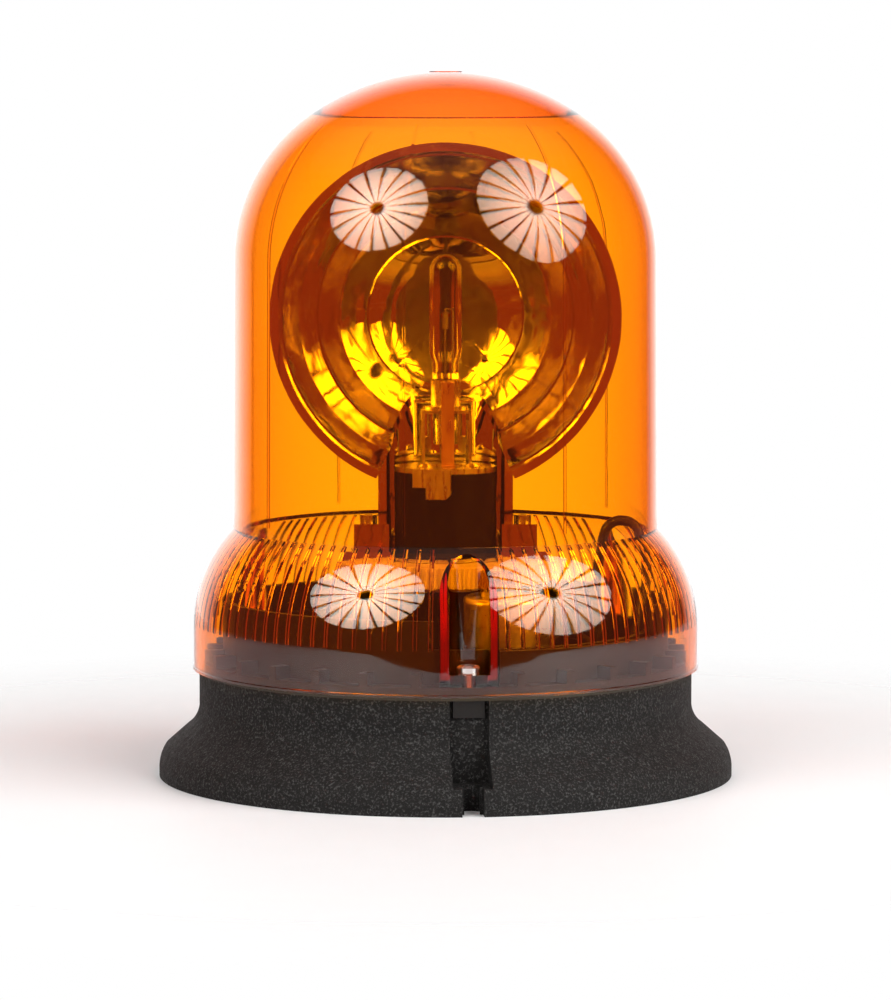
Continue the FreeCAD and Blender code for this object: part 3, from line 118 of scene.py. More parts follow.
def between(tree, factor, low, high, from_low=0.3, from_high=0.7):
    """Turns a pattern, which runs between from_low and from_high, into numbers from low to high."""
    node = tree.nodes.new("ShaderNodeMapRange")
    node.inputs["From Min"].default_value = from_low
    node.inputs["From Max"].default_value = from_high
    node.inputs["To Min"].default_value = low
    node.inputs["To Max"].default_value = high
    join(tree, factor, node.inputs["Value"])
    return node.outputs["Result"]


def two_tones(tree, factor, dark, light):
    node = tree.nodes.new("ShaderNodeMix")
    node.data_type = "RGBA"
    for value, place in zip((factor, dark, light), (0, 6, 7)):
        feed(tree, value, node.inputs[place])
    return node.outputs[2]


def blend_shaders(tree, factor, first, second):
    node = tree.nodes.new("ShaderNodeMixShader")
    for source, target in zip((factor, first, second), node.inputs):
        join(tree, source, target)
    return node.outputs[0]


print("node helpers ready")

# %% [markdown]
# ## Backdrop and room
#
# A studio for a clear lens has a lit white backdrop behind the lens and a dark room on the camera's
# side. The room matters as much as the lamps: the chrome reflector is a mirror, and its dark bands are
# the room. Walls of mesh could make both, but a world that depends on direction does it with no
# geometry. The camera sees it as plain white. Other rays see the backdrop brighter, which makes up for
# what the plastic's surfaces turn away. Mirrors see the room in a warm tone, which stands in for the
# red light that bounces inside the lens.

# %% World
ROOM_TONE = (0.05, 0.048, 0.046)
ROOM_MIRRORED = (0.22, 0.055, 0.028)
BACKDROP_THROUGH_GLASS = 1.55
BACKDROP_FROM = 0.70
BACKDROP_FULL = 0.93
CEILING_FROM = 0.6
CEILING_TONE = 0.12

world = bpy.data.worlds.new("studio")
bpy.context.scene.world = world
world.use_nodes = True
sky = world.node_tree
sky.nodes.clear()
direction = sky.nodes.new("ShaderNodeTexCoord")
split = sky.nodes.new("ShaderNodeSeparateXYZ")
join(sky, direction.outputs["Generated"], split.inputs["Vector"])
behind = between(sky, split.outputs["Y"], 0.0, 1.0, BACKDROP_FROM, BACKDROP_FULL)
above = between(sky, split.outputs["Z"], 0.0, CEILING_TONE, CEILING_FROM, 1.0)
path = sky.nodes.new("ShaderNodeLightPath")
dim_room = two_tones(sky, path.outputs["Is Glossy Ray"], ROOM_TONE, ROOM_MIRRORED)
tone = two_tones(sky, maths(sky, "MAXIMUM", behind, above), dim_room, WHITE)
room = add(sky, "ShaderNodeBackground", Strength=BACKDROP_THROUGH_GLASS)
join(sky, tone, room.inputs["Color"])
seen = add(sky, "ShaderNodeBackground", Color=(*WHITE, 1.0), Strength=1.0)
both = blend_shaders(sky, path.outputs["Is Camera Ray"], room.outputs[0], seen.outputs[0])
join(sky, both, sky.nodes.new("ShaderNodeOutputWorld").inputs["Surface"])
print("world nodes:", len(sky.nodes))

# %% [markdown]
# ## Helpers for finishes
#
# A finish starts from the standard shader and adds patterns to it. The patterns read Object
# coordinates, so that a grain keeps its real size on every piece and moves with it. Image textures
# could do the same, but they would need seams and files, and a procedural pattern needs neither.

# %% Helpers for patterns and finishes
def finish(name):
    """A new material with its tree, its Principled shader and its output."""
    material = bpy.data.materials.new(name)
    material.use_nodes = True
    tree = material.node_tree
    return material, tree, tree.nodes["Principled BSDF"], tree.nodes["Material Output"]


def object_point(tree, stretch=(1.0, 1.0, 1.0)):
    """Object coordinates, stretched where a finish has a direction."""
    place = tree.nodes.new("ShaderNodeTexCoord")
    mapping = tree.nodes.new("ShaderNodeMapping")
    mapping.inputs["Scale"].default_value = stretch
    join(tree, place.outputs["Object"], mapping.inputs["Vector"])
    return mapping.outputs["Vector"]


def distance_out(tree, stretch=(1.0, 1.0, 1.0)):
    """How far a point lies from the object's own origin."""
    node = tree.nodes.new("ShaderNodeVectorMath")
    node.operation = "LENGTH"
    join(tree, object_point(tree, stretch), node.inputs[0])
    return node.outputs["Value"]


def noise(tree, per_metre, detail=4.0, rough=0.5, stretch=(1.0, 1.0, 1.0)):
    node = add(tree, "ShaderNodeTexNoise", Scale=per_metre, Detail=detail, Roughness=rough)
    join(tree, object_point(tree, stretch), node.inputs["Vector"])
    return node.outputs["Fac"]


def blend_numbers(tree, factor, first, second):
    node = tree.nodes.new("ShaderNodeMix")
    for value, place in zip((factor, first, second), (0, 2, 3)):
        feed(tree, value, node.inputs[place])
    return node.outputs[0]


print("helpers for finishes ready")

# %% [markdown]
# ## Table
#
# The beacon stands on white paper, whose front edge is not far from it: the skirt of the lens mirrors
# the paper below and the dark room above that edge. The paper keeps the beacon's soft shadow. A sheet
# that curves up behind the beacon would hide the horizon, as it does in a real studio, but it would
# also cover the backdrop. So the paper stays flat and fades to clear farther out, sooner to the camera
# and through the lens than to mirrors.

# %% Lay the table
TABLE_FRONT = -0.43
TABLE_BACK = 3.0
TABLE_HALF_WIDTH = 2.0
SEEN_FADE = (0.09, 0.30)
MIRRORED_FADE = (0.47, 0.90)
PAPER_DARK = (0.90, 0.90, 0.90)
PAPER_LIGHT = (0.93, 0.93, 0.93)
PAPER_ROUGH = 0.6
FLAT = (1.0, 1.0, 0.0)

table_mesh = bmesh.new()
bmesh.ops.create_grid(table_mesh, x_segments=1, y_segments=1, size=1.0)
half_depth = (TABLE_BACK - TABLE_FRONT) / 2
bmesh.ops.scale(table_mesh, vec=(TABLE_HALF_WIDTH, half_depth, 1.0), verts=table_mesh.verts)
bmesh.ops.translate(table_mesh, vec=(0.0, TABLE_FRONT + half_depth, 0.0), verts=table_mesh.verts)
table_data = bpy.data.meshes.new("table")
table_mesh.to_mesh(table_data)
table_mesh.free()
table = bpy.data.objects.new("table", table_data)
bpy.context.collection.objects.link(table)

material, tree, shader, output = finish("table_paper")
paper = two_tones(tree, noise(tree, per_metre=6.0), PAPER_DARK, PAPER_LIGHT)
join(tree, paper, shader.inputs["Base Color"])
shader.inputs["Roughness"].default_value = PAPER_ROUGH
out = distance_out(tree, FLAT)
path = tree.nodes.new("ShaderNodeLightPath")
straight = maths(tree, "MAXIMUM", path.outputs["Is Camera Ray"], path.outputs["Is Transmission Ray"])
mirrored_fade = between(tree, out, 0.0, 1.0, *MIRRORED_FADE)
seen_fade = between(tree, out, 0.0, 1.0, *SEEN_FADE)
fade = blend_numbers(tree, straight, mirrored_fade, seen_fade)
gone = add(tree, "ShaderNodeBsdfTransparent", Color=(*WHITE, 1.0))
join(tree, blend_shaders(tree, fade, shader.outputs[0], gone.outputs[0]), output.inputs["Surface"])
table_data.materials.append(material)
print("table front edge at", TABLE_FRONT)

# %% [markdown]
# ## Umbrella lamps
#
# Two large umbrellas stand in front on the left and right. They could be area lamps, but a disc of
# glowing cloth between dark spokes also shows its spokes where the lens mirrors it. A sine of the angle
# makes the spokes, the distance from the middle makes the hub, and the cloth is brightest near the hub,
# where the flash stands behind it. Mirrors see the cloth brighter than it lights the scene: its
# reflections stay crisp, and the black pieces stay dark.

# %% Hang two umbrellas
UMBRELLA_AIM = Vector((0.0, -0.03, 0.12))
UMBRELLA_SIDES = 40
UMBRELLA_SPOKES = 17
UMBRELLA_HUB = 0.11
HUB_SOFTNESS = 1.5
SPOKE_FADE = (0.16, 0.45)
MIDDLE_GLOW = 1.25
RIM_GLOW = 0.55
MIDDLE_SHARE = 0.15
CLOTH_MIRRORED = (1.0, 0.97, 0.90)


def spoke_pattern(tree, radius, out):
    """1 on the cloth and 0 on the spokes and the hub."""
    split = tree.nodes.new("ShaderNodeSeparateXYZ")
    join(tree, object_point(tree), split.inputs["Vector"])
    turn = maths(tree, "ARCTAN2", split.outputs["Y"], split.outputs["X"])
    wave = maths(tree, "SINE", maths(tree, "MULTIPLY", turn, UMBRELLA_SPOKES / 2))
    lines = between(tree, maths(tree, "ABSOLUTE", wave), 0.0, 1.0, *SPOKE_FADE)
    hub_edge = UMBRELLA_HUB * radius
    hub = between(tree, out, 0.0, 1.0, hub_edge, HUB_SOFTNESS * hub_edge)
    return maths(tree, "MULTIPLY", hub, lines)


def umbrella(name, towards, away, radius, strength, mirrored):
    """A glowing disc with dark spokes and hub that faces the dome."""
    centre = UMBRELLA_AIM + Vector(towards).normalized() * away
    cloth = bmesh.new()
    bmesh.ops.create_circle(cloth, cap_ends=True, cap_tris=False, segments=UMBRELLA_SIDES, radius=radius)
    data = bpy.data.meshes.new(name)
    cloth.to_mesh(data)
    cloth.free()
    lamp = bpy.data.objects.new(name, data)
    bpy.context.collection.objects.link(lamp)
    facing = (centre - UMBRELLA_AIM).to_track_quat("Z", "Y").to_matrix().to_4x4()
    lamp.matrix_world = Matrix.Translation(centre) @ facing
    material, tree, shader, output = finish(name + "_cloth")
    tree.nodes.remove(shader)
    out = distance_out(tree)
    path = tree.nodes.new("ShaderNodeLightPath")
    glossy = path.outputs["Is Glossy Ray"]
    middle, rim = MIDDLE_GLOW * mirrored, RIM_GLOW * mirrored
    seen_at = between(tree, out, middle, rim, MIDDLE_SHARE * radius, radius)
    level = blend_numbers(tree, glossy, strength, seen_at)
    glow = tree.nodes.new("ShaderNodeEmission")
    join(tree, two_tones(tree, glossy, WHITE, CLOTH_MIRRORED), glow.inputs["Color"])
    join(tree, maths(tree, "MULTIPLY", spoke_pattern(tree, radius, out), level), glow.inputs["Strength"])
    join(tree, glow.outputs[0], output.inputs["Surface"])
    data.materials.append(material)
    lamp.visible_camera = False


umbrella("umbrella_left", (-0.616, -0.555, 0.559), away=1.5, radius=0.72, strength=4.0, mirrored=11.0)
umbrella("umbrella_right", (0.664, -0.528, 0.545), away=1.7, radius=0.98, strength=5.4, mirrored=8.5)
print("two umbrellas")

# %% [markdown]
# ## Sizes of the lens
#
# The lens is one clear amber moulding: a dome on a tube, a ribbed bulge round its foot, a skirt, and
# three pockets for its screws. It could be traced as one long list of points. Instead, a few radii and
# heights in millimetres give an outline of arcs that meet without a kink, and the same outline moved in
# gives the inside of the wall.

# %% Lens sizes
TOTAL_HEIGHT = 207.5
LENS_LOW = 32.0
LENS_WALL = 2.5
SKIRT_R = 74.6
BULGE_R = 42.0
BULGE_Z = 44.0
TUBE_LOW_R = 62.8
TUBE_TOP_R = 62.3
SHOULDER_R = 52.3
CAP_R = 70.0
BULGE_IN = SKIRT_R - BULGE_R
CAP_Z = TOTAL_HEIGHT - CAP_R
SHOULDER_IN = TUBE_TOP_R - SHOULDER_R
SHOULDER_Z = CAP_Z + math.sqrt((CAP_R - SHOULDER_R) ** 2 - SHOULDER_IN ** 2)
LENS_TURNS = 416
ARC_STEPS = 12


def arc_points(centre, radius, start, end, steps=ARC_STEPS):
    """Points on an arc, without its first one. Angles in radians from straight out."""
    turns = [start + (end - start) * i / steps for i in range(1, steps + 1)]
    return [(centre[0] + radius * math.cos(a), centre[1] + radius * math.sin(a)) for a in turns]


def dome_outline(inset, low):
    """The dome's outline from its lower edge to its top, moved in by the inset."""
    bulge = BULGE_R - inset
    tube = TUBE_LOW_R - inset
    bulge_end = math.acos((tube - BULGE_IN) / bulge)
    lean = math.atan2(SHOULDER_Z - CAP_Z, SHOULDER_IN)
    points = [(SKIRT_R - inset, low), (SKIRT_R - inset, BULGE_Z)]
    points += arc_points((BULGE_IN, BULGE_Z), bulge, 0.0, bulge_end)
    points += [(TUBE_TOP_R - inset, SHOULDER_Z)]
    points += arc_points((SHOULDER_IN, SHOULDER_Z), SHOULDER_R - inset, 0.0, lean)
    points += arc_points((0.0, CAP_Z), CAP_R - inset, lean, math.pi / 2)
    return points


print("dome shoulder starts at", round(SHOULDER_Z, 1))

# %% [markdown]
# ## Helpers for meshes
#
# The lens is a turned form with cut and added details, as it is in the mould maker's shop. So the
# helpers spin an outline, make a rod or a box, copy a shape round the axis, and join or cut pieces with
# booleans. Lists of vertices would give the same faces, but they could not be read or changed by hand.

# %% Mesh helpers
AXIS_REACH = 1e-9
WELD_DISTANCE = 1e-7
ROD_SIDES = 48


def keep(shape, name):
    """Turns a bmesh into an object."""
    data = bpy.data.meshes.new(name)
    shape.to_mesh(data)
    shape.free()
    piece = bpy.data.objects.new(name, data)
    bpy.context.collection.objects.link(piece)
    return piece


def spin_outline(points, turns, closed=True):
    """A full turn of an outline of (radius, height) in millimetres about the upright axis."""
    shape = bmesh.new()
    corners = [shape.verts.new((r * MM, 0.0, z * MM)) for r, z in points]
    runs = list(zip(corners, corners[1:])) + ([(corners[-1], corners[0])] if closed else [])
    for a, b in runs:
        if max(a.co.x, b.co.x) > AXIS_REACH:
            shape.edges.new((a, b))
    bmesh.ops.spin(shape, geom=shape.verts[:] + shape.edges[:], axis=(0, 0, 1), cent=(0, 0, 0),
                   angle=2 * math.pi, steps=turns, use_merge=True)
    bmesh.ops.remove_doubles(shape, verts=shape.verts, dist=WELD_DISTANCE)
    bmesh.ops.recalc_face_normals(shape, faces=shape.faces)
    return shape


def rod(radius, low, high, at=0.0, sides=ROD_SIDES):
    """An upright rod of a given radius between two heights, at a distance from the axis."""
    shape = bmesh.new()
    place = Matrix.Translation((at * MM, 0.0, (low + high) / 2 * MM))
    bmesh.ops.create_cone(shape, cap_ends=True, segments=sides, radius1=radius * MM, radius2=radius * MM,
                          depth=(high - low) * MM, matrix=place)
    return shape


def slab(low, high):
    """A box between two corners in millimetres."""
    shape = bmesh.new()
    middle = [(a + b) / 2 * MM for a, b in zip(low, high)]
    size = [(b - a) * MM for a, b in zip(low, high)]
    place = Matrix.Translation(middle) @ Matrix.Diagonal((*size, 1.0))
    bmesh.ops.create_cube(shape, size=1.0, matrix=place)
    return shape


def just_verts(parts):
    return [part for part in parts if isinstance(part, bmesh.types.BMVert)]


def round_the_axis(shape, angles):
    """Copies what the bmesh holds to each plan angle, in degrees."""
    first = shape.verts[:] + shape.edges[:] + shape.faces[:]
    places = [(just_verts(bmesh.ops.duplicate(shape, geom=first)["geom"]), angle) for angle in angles[1:]]
    for verts, angle in places + [(just_verts(first), angles[0])]:
        turn = Matrix.Rotation(math.radians(angle), 3, "Z")
        bmesh.ops.rotate(shape, verts=verts, cent=(0, 0, 0), matrix=turn)
    return shape


def combine(piece, cutters):
    """Applies a boolean for each (operation, object) and removes the cutters."""
    for operation, cutter in cutters:
        step = piece.modifiers.new(operation.lower(), "BOOLEAN")
        step.operation = operation
        step.solver = "MANIFOLD"
        step.object = cutter
    solved = piece.evaluated_get(bpy.context.evaluated_depsgraph_get())
    data = bpy.data.meshes.new_from_object(solved)
    piece.modifiers.clear()
    piece.data = data
    for operation, cutter in cutters:
        bpy.data.objects.remove(cutter)


print("mesh helpers ready")

# %% [markdown]
# ## Lens shell
#
# Glass shows its true form, so the shell needs a real wall with an inside and an outside, and its
# section is one closed loop that is spun about the axis. A solidify modifier could give the wall, but
# it would repeat the same form inside and outside. Here only the inside has a round pad under the top,
# and only the outside has a small lip at the lower edge.

# %% Make the lens shell
PAD_R = 38.5
PAD_THICK = 0.6
PAD_STEPS = 8
PAD_EDGE = 0.5
LIP_OUT = 0.3
LIP_HIGH = 0.7
LIP_SLOPE_HIGH = 0.9

under_cap = CAP_R - LENS_WALL
under_pad = under_cap - PAD_THICK
pad_foot = PAD_R - PAD_THICK
pad_lean = math.acos(PAD_R / under_cap)
outer = dome_outline(0.0, LENS_LOW)
inner = [(r, z) for r, z in dome_outline(LENS_WALL, LENS_LOW) if r > PAD_R]
inner += [(PAD_R, CAP_Z + math.sqrt(under_cap ** 2 - PAD_R ** 2))]
inner += [(pad_foot, CAP_Z + math.sqrt(under_pad ** 2 - pad_foot ** 2))]
pad = arc_points((0.0, CAP_Z), under_pad, pad_lean, math.pi / 2, PAD_STEPS)
inner += [(r, z) for r, z in pad if r < pad_foot - PAD_EDGE]
lip_r = SKIRT_R + LIP_OUT
lip = [(lip_r, LENS_LOW), (lip_r, LENS_LOW + LIP_HIGH), (SKIRT_R, LENS_LOW + LIP_SLOPE_HIGH)]
lens = keep(spin_outline(lip + outer[1:] + inner[::-1], LENS_TURNS), "lens")
print("lens shell faces", len(lens.data.polygons))

# %% [markdown]
# ## Ribs inside the lens
#
# The fine ribs inside the bulge are round bars that follow its curve, each a short spin of a circle
# about the middle of the bulge's section. The ribs of the mould's seams are thin bars up the tube and
# the dome. Bump could fake both, but a clear wall bends light with its true form, and that is what
# makes the ribs sparkle.

# %% Make the ribs
RIB_COUNT = 104
RIB_THICK = 0.62
RIB_SIDES = 8
RIB_FROM_Z = 45.0
RIB_STOPS_SHORT = 0.01
RIB_FREE_ANGLE = 8.5
SEAM_COUNT = 8
SEAM_START = -106.5
SEAM_THICK = 0.7
SEAM_PROUD = 0.5
SEAM_ROOT = 0.3
SEAM_LOW = 76.0
POCKETS = (-90.0, 30.0, 150.0)


def near_pocket(angle):
    return any(abs((angle - p + 180.0) % 360.0 - 180.0) < RIB_FREE_ANGLE for p in POCKETS)


def bulge_ribs():
    """Round bars inside the bulge, each a spin of a circle about the centre of the bulge's section."""
    shape = bmesh.new()
    inside = BULGE_R - LENS_WALL
    start = math.asin((RIB_FROM_Z - BULGE_Z) / inside)
    end = math.acos((TUBE_LOW_R - LENS_WALL - BULGE_IN) / inside) - RIB_STOPS_SHORT
    bmesh.ops.create_circle(shape, cap_ends=True, cap_tris=False, segments=RIB_SIDES,
                            radius=RIB_THICK * MM)
    bmesh.ops.rotate(shape, verts=shape.verts, cent=(0, 0, 0), matrix=Matrix.Rotation(-start, 3, "Y"))
    place = ((BULGE_IN + inside * math.cos(start)) * MM, 0.0, (BULGE_Z + inside * math.sin(start)) * MM)
    bmesh.ops.translate(shape, vec=place, verts=shape.verts)
    bmesh.ops.spin(shape, geom=shape.faces[:], axis=(0, -1, 0), cent=(BULGE_IN * MM, 0.0, BULGE_Z * MM),
                   angle=end - start, steps=ARC_STEPS)
    bmesh.ops.recalc_face_normals(shape, faces=shape.faces)
    angles = [-90.0 + 360.0 * (i + 0.5) / RIB_COUNT for i in range(RIB_COUNT)]
    return keep(round_the_axis(shape, [a for a in angles if not near_pocket(a)]), "ribs")


def seam_ribs():
    """Thin bars up the inside of the tube and the dome, where the parts of the mould met."""
    shape = bmesh.new()
    root = dome_outline(LENS_WALL - SEAM_ROOT, LENS_LOW)
    line = [(TUBE_LOW_R - LENS_WALL + SEAM_ROOT, SEAM_LOW)]
    line += [(r, z) for r, z in root if z > SEAM_LOW and r > PAD_R]
    back = [(r - SEAM_PROUD - SEAM_ROOT, z) for r, z in line]
    corners = [shape.verts.new((r * MM, -SEAM_THICK / 2 * MM, z * MM)) for r, z in line + back[::-1]]
    raised = bmesh.ops.extrude_face_region(shape, geom=[shape.faces.new(corners)])
    bmesh.ops.translate(shape, vec=(0.0, SEAM_THICK * MM, 0.0), verts=just_verts(raised["geom"]))
    bmesh.ops.recalc_face_normals(shape, faces=shape.faces)
    angles = [SEAM_START + 360.0 * i / SEAM_COUNT for i in range(SEAM_COUNT)]
    return keep(round_the_axis(shape, angles), "seams")


ribs = bulge_ribs()
seams = seam_ribs()
print("ribs", len(ribs.data.polygons), "seams", len(seams.data.polygons))

# %% [markdown]
# ## Screw pockets and gate
#
# Each lens screw stands in a round pocket that is open to the outside. A plug of plastic fills the
# bulge there, a flute and a mouth cut the pocket out of it, and a hole lets the screw through its
# floor. The plug is first cut to the outer form of the lens, a hair inside it, so that no two faces lie
# on each other. The flat disc on top is the gate, where the plastic came into the mould. Booleans with
# a few simple solids do all this, where shaping each pocket by hand, face by face, would take far
# longer.

# %% Cut the pockets
POCKET_R = 5.9
POCKET_CENTRE_R = 70.2
POCKET_WALL = 2.4
POCKET_FLOOR = 38.4
POCKET_UNDER = 34.7
POCKET_TOP = 75.0
PLUG_OVER = 2.0
CUT_OVER = 2.5
CUT_OUT = 5.0
SCREW_R = 69.6
HOLE_R = 2.0
HOLE_SIDES = 24
HOLE_OVER = 1.0
SKIN = 0.02
GATE_R = 4.9
GATE_DEEP = 1.0
SHARP_FROM = math.radians(35.0)

plug = rod(POCKET_R + POCKET_WALL, POCKET_UNDER, POCKET_TOP + PLUG_OVER, POCKET_CENTRE_R)
plug = keep(round_the_axis(plug, POCKETS), "plug")
envelope = [(0.0, LENS_LOW), (SKIRT_R - SKIN, LENS_LOW)]
envelope += [(max(0.0, r - SKIN), z - SKIN) for r, z in outer[1:]]
combine(plug, [("INTERSECT", keep(spin_outline(envelope, LENS_TURNS, closed=False), "envelope"))])

gate = keep(rod(GATE_R, TOTAL_HEIGHT - GATE_DEEP, TOTAL_HEIGHT), "gate")
flute = rod(POCKET_R, POCKET_FLOOR, POCKET_TOP + CUT_OVER, POCKET_CENTRE_R)
mouth_near = (POCKET_CENTRE_R, -POCKET_R, POCKET_FLOOR)
mouth_far = (SKIRT_R + CUT_OUT, POCKET_R, POCKET_TOP + CUT_OVER)
mouth = slab(mouth_near, mouth_far)
hole = rod(HOLE_R, POCKET_UNDER - HOLE_OVER, POCKET_FLOOR + HOLE_OVER, SCREW_R, HOLE_SIDES)
cutters = [("flute", flute), ("mouth", mouth), ("hole", hole)]
joined = [("UNION", piece) for piece in (ribs, seams, gate, plug)]
taken_out = [("DIFFERENCE", keep(round_the_axis(shape, POCKETS), name)) for name, shape in cutters]
combine(lens, joined + taken_out)
lens.data.shade_smooth()
lens.data.set_sharp_from_angle(angle=SHARP_FROM)
print("lens faces", len(lens.data.polygons))

# %% [markdown]
# ## Amber plastic
#
# The colour lives in the plastic and not on its surface: it is deeper where the wall is seen edge on.
# So the surface is clear, with a faint smear and a slow ripple, and the volume takes up blue and green
# light. A tinted surface would be simpler, but it colours thick and thin places alike. A shadow passes
# through as if the lens were nearly clear, because light that is bent through it would need far more
# samples.

# %% Lens material
AMBER_PASSED = (0.9955, 0.842, 0.016)
AMBER_DENSITY = 1500.0
POLYCARBONATE_IOR = 1.58
LENS_SHADOW = (0.92, 0.92, 0.92)


def relief(tree, shader, height, depth, strength=1.0):
    bump = add(tree, "ShaderNodeBump", Strength=strength, Distance=depth)
    join(tree, height, bump.inputs["Height"])
    join(tree, bump.outputs["Normal"], shader.inputs["Normal"])


def clear_glass(name, ior, smear, rough, ripple, depth, strength):
    """A clear refracting surface with a little haze and a slow ripple."""
    material, tree, shader, output = finish(name)
    feed(tree, WHITE, shader.inputs["Base Color"])
    shader.inputs["Transmission Weight"].default_value = 1.0
    shader.inputs["IOR"].default_value = ior
    join(tree, between(tree, noise(tree, smear, detail=3.0), 0.0, rough), shader.inputs["Roughness"])
    relief(tree, shader, noise(tree, ripple, detail=2.0), depth, strength)
    return material, tree, shader, output


material, tree, shader, output = clear_glass("amber_lens", POLYCARBONATE_IOR, smear=35.0, rough=0.05,
                                             ripple=55.0, depth=0.00006, strength=0.6)
plastic = add(tree, "ShaderNodeVolumeAbsorption", Color=(*AMBER_PASSED, 1.0), Density=AMBER_DENSITY)
join(tree, plastic.outputs[0], output.inputs["Volume"])
path = tree.nodes.new("ShaderNodeLightPath")
clear = add(tree, "ShaderNodeBsdfTransparent", Color=(*LENS_SHADOW, 1.0))
surface = blend_shaders(tree, path.outputs["Is Shadow Ray"], shader.outputs[0], clear.outputs[0])
join(tree, surface, output.inputs["Surface"])
lens.data.materials.clear()
lens.data.materials.append(material)
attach(lens, "housing")
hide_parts("lens_dome")
print("amber lens done")

# %% [markdown]
# ## Rubber and plastics
#
# Rubber and moulded plastics have a fine grain that breaks up their highlights: two close tones, a
# gloss that varies and a shallow relief. The rubber of the base is rough, as from a spark-eroded mould,
# and its colour holds fine pale dots, a painted glint where that grain would catch the light. One plain
# colour each would be quicker, but it looks like paper under large lamps.

# %% Make rubber and plastics
def moulded(name, dark, light, rough, grain, depth, shine=0.5):
    """Rubber or plastic: two tones, a varying gloss and a fine grain in relief."""
    material, tree, shader, output = finish(name)
    patches = noise(tree, per_metre=60.0, detail=5.0)
    colour = two_tones(tree, between(tree, patches, 0.0, 1.0), dark, light)
    join(tree, colour, shader.inputs["Base Color"])
    join(tree, between(tree, noise(tree, grain, detail=3.0), *rough), shader.inputs["Roughness"])
    relief(tree, shader, noise(tree, grain, detail=6.0, rough=0.65), depth)
    shader.inputs["Specular IOR Level"].default_value = shine
    return material


GROUND_TONES = ((0.0030, 0.0029, 0.0028), (0.0070, 0.0067, 0.0064))
# Painted glints: the lighter tones, and the range of the mask, for pale dots painted where the grain
# would catch the light.
PAINTED_GLINT_TONES = ((0.055, 0.054, 0.052), (0.085, 0.083, 0.080))
PAINTED_GLINT_FROM = 0.52
PAINTED_GLINT_FULL = 0.68
BASE_ROUGH = (0.62, 0.85)
BASE_SHINE = 0.22


def speckled_rubber(name):
    """Black rubber with fine pale dots painted into its colour as glints where its grain would catch the
    light.
    """
    material, tree, shader, output = finish(name)
    grain = noise(tree, per_metre=1500.0, detail=3.0, rough=0.7)
    coarse = noise(tree, per_metre=420.0, detail=4.0, rough=0.6)
    uneven = between(tree, coarse, 0.0, 1.0)
    ground = two_tones(tree, uneven, *GROUND_TONES)
    # The lighter tones are a painted glint, put into the colour where the fine grain would catch the
    # light.
    lit = two_tones(tree, uneven, *PAINTED_GLINT_TONES)
    painted_glints = between(tree, grain, 0.0, 1.0, PAINTED_GLINT_FROM, PAINTED_GLINT_FULL)
    join(tree, two_tones(tree, painted_glints, ground, lit), shader.inputs["Base Color"])
    join(tree, between(tree, coarse, *BASE_ROUGH), shader.inputs["Roughness"])
    shader.inputs["Specular IOR Level"].default_value = BASE_SHINE
    relief(tree, shader, grain, depth=0.0005, strength=0.8)
    return material


# Each row: darker tone, lighter tone, roughness from and to, grain per metre, depth of the grain,
# and the shine where it differs from that of most plastics.
PLASTICS = {
    "black_plastic": ((0.004, 0.004, 0.004), (0.008, 0.0075, 0.0075), (0.35, 0.55),
                      1500.0, 0.00008, 0.35),
    "seal_rubber": ((0.016, 0.016, 0.016), (0.026, 0.026, 0.026), (0.55, 0.75), 2200.0, 0.0001),
    "post_plastic": ((0.0025, 0.002, 0.002), (0.005, 0.0045, 0.0045), (0.3, 0.5), 1400.0, 0.00005, 0.12),
    "gear_nylon": ((0.72, 0.68, 0.58), (0.82, 0.79, 0.70), (0.35, 0.5), 800.0, 0.00004),
    "terminal_plastic": ((0.80, 0.78, 0.70), (0.87, 0.85, 0.78), (0.3, 0.45), 900.0, 0.00004),
    "lead_sheath": ((0.010, 0.010, 0.010), (0.018, 0.017, 0.017), (0.3, 0.5), 1600.0, 0.00005),
}
finishes = {name: moulded(name, *row) for name, row in PLASTICS.items()}
finishes["base_rubber"] = speckled_rubber("base_rubber")
print("rubber and plastics", len(finishes))

# %% [markdown]
# ## Metals
#
# Screws, wire, sheet and brass are bright metal with faint marks of turning, drawing or rolling. The
# marks are one noise, stretched along one axis, that changes the tone, the gloss and the relief
# together. Brushed metal could use an anisotropic shader, but on pieces this small the marks themselves
# do more.

# %% Make the metals
def metal(name, dark, light, rough, stretch, depth):
    """Bright metal: slightly uneven tone, marks that run one way and a soft relief."""
    material, tree, shader, output = finish(name)
    shader.inputs["Metallic"].default_value = 1.0
    marks = noise(tree, per_metre=900.0, detail=4.0, rough=0.6, stretch=stretch)
    colour = two_tones(tree, between(tree, marks, 0.0, 1.0), dark, light)
    join(tree, colour, shader.inputs["Base Color"])
    join(tree, between(tree, marks, *rough), shader.inputs["Roughness"])
    relief(tree, shader, marks, depth)
    return material


# Below 1 a number stretches the marks along that axis, and above 1 it squeezes them.
UPRIGHT = (1.0, 1.0, 0.2)
LONG_UPRIGHT = (1.0, 1.0, 0.15)
SHORT_UPRIGHT = (1.0, 1.0, 0.3)
LEVEL = (0.2, 0.2, 1.0)
FINE_RINGS = (1.0, 1.0, 4.0)

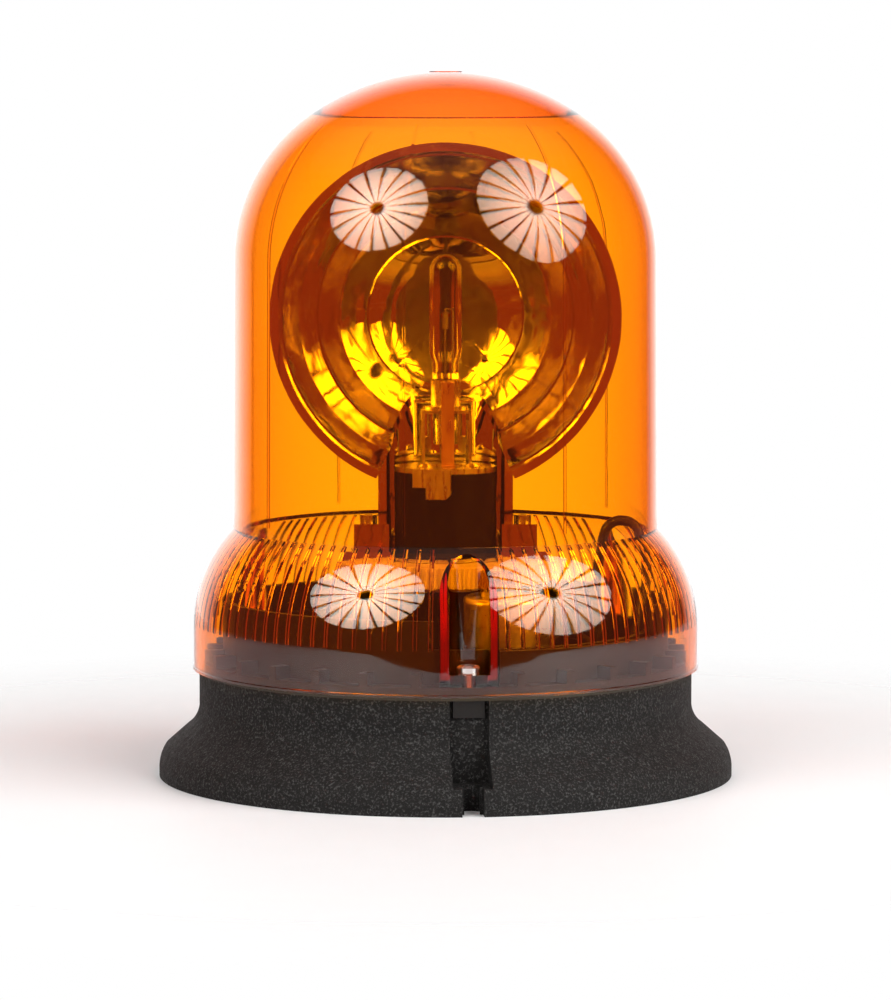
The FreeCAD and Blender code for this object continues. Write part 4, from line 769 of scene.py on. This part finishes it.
# Each row: darker tone, lighter tone, roughness from and to, direction of the marks, depth of the marks.
METALS = {
    "bright_screw": ((0.72, 0.72, 0.72), (0.84, 0.84, 0.83), (0.14, 0.3), UPRIGHT, 0.00002),
    "washer_steel": ((0.58, 0.58, 0.58), (0.68, 0.68, 0.67), (0.22, 0.4), UPRIGHT, 0.00002),
    "bush_brass": ((0.70, 0.52, 0.24), (0.80, 0.62, 0.30), (0.3, 0.5), SHORT_UPRIGHT, 0.00003),
    "pinion_brass": ((0.74, 0.56, 0.25), (0.84, 0.66, 0.32), (0.2, 0.35), UPRIGHT, 0.00002),
    "motor_steel": ((0.60, 0.59, 0.57), (0.72, 0.71, 0.69), (0.25, 0.42), LEVEL, 0.00003),
    "holder_steel": ((0.60, 0.58, 0.54), (0.72, 0.70, 0.66), (0.22, 0.4), LONG_UPRIGHT, 0.00003),
    "contact_copper": ((0.74, 0.50, 0.34), (0.84, 0.60, 0.42), (0.25, 0.4), LONG_UPRIGHT, 0.00003),
    "bulb_cap_metal": ((0.64, 0.63, 0.60), (0.76, 0.75, 0.72), (0.18, 0.34), UPRIGHT, 0.00003),
    "tungsten": ((0.36, 0.35, 0.34), (0.50, 0.49, 0.47), (0.3, 0.5), FINE_RINGS, 0.00004),
    "clip_wire": ((0.68, 0.68, 0.67), (0.80, 0.80, 0.79), (0.14, 0.26), UPRIGHT, 0.00002),
}
finishes.update({name: metal(name, *row) for name, row in METALS.items()})
print("metals", len(METALS))

# %% [markdown]
# ## Mirror and bulb glass
#
# The reflector is plastic with a thin film of metal, a mirror that is not quite flat, and its slow
# waves are what bend the lamps' reflections. The bulb's glass is quartz, nearly without flaws. A
# perfect mirror and a perfect glass would be simpler, but both look drawn rather than made.

# %% Make the mirror and the glass
CHROME_DARK = (0.84, 0.84, 0.83)
CHROME_LIGHT = (0.93, 0.93, 0.92)
CHROME_ROUGH = (0.02, 0.07)
QUARTZ_IOR = 1.46

material, tree, shader, output = finish("mirror_chrome")
shader.inputs["Metallic"].default_value = 1.0
haze = noise(tree, per_metre=90.0, detail=5.0)
join(tree, two_tones(tree, haze, CHROME_DARK, CHROME_LIGHT), shader.inputs["Base Color"])
join(tree, between(tree, haze, *CHROME_ROUGH), shader.inputs["Roughness"])
relief(tree, shader, noise(tree, per_metre=70.0, detail=2.0), depth=0.00025, strength=0.5)
finishes["mirror_chrome"] = material
finishes["bulb_glass"] = clear_glass("bulb_glass", QUARTZ_IOR, smear=120.0, rough=0.03,
                                     ripple=160.0, depth=0.00005, strength=0.5)[0]
print("mirror and bulb glass")

# %% [markdown]
# ## Dress the pieces
#
# Every other piece keeps the mesh of its solid, because there the forms are already right, and takes
# the finish of its material slot. The lens's own solid is left alone, because the new lens stands in
# its place.

# %% Give each CAD node its finish
for row in frame["record"]["subparts"]:
    if row["node"] == "lens_dome":
        continue
    node = frame["nodes"][row["node"]]
    node.data.materials.clear()
    node.data.materials.append(finishes[row["material_slot"]])
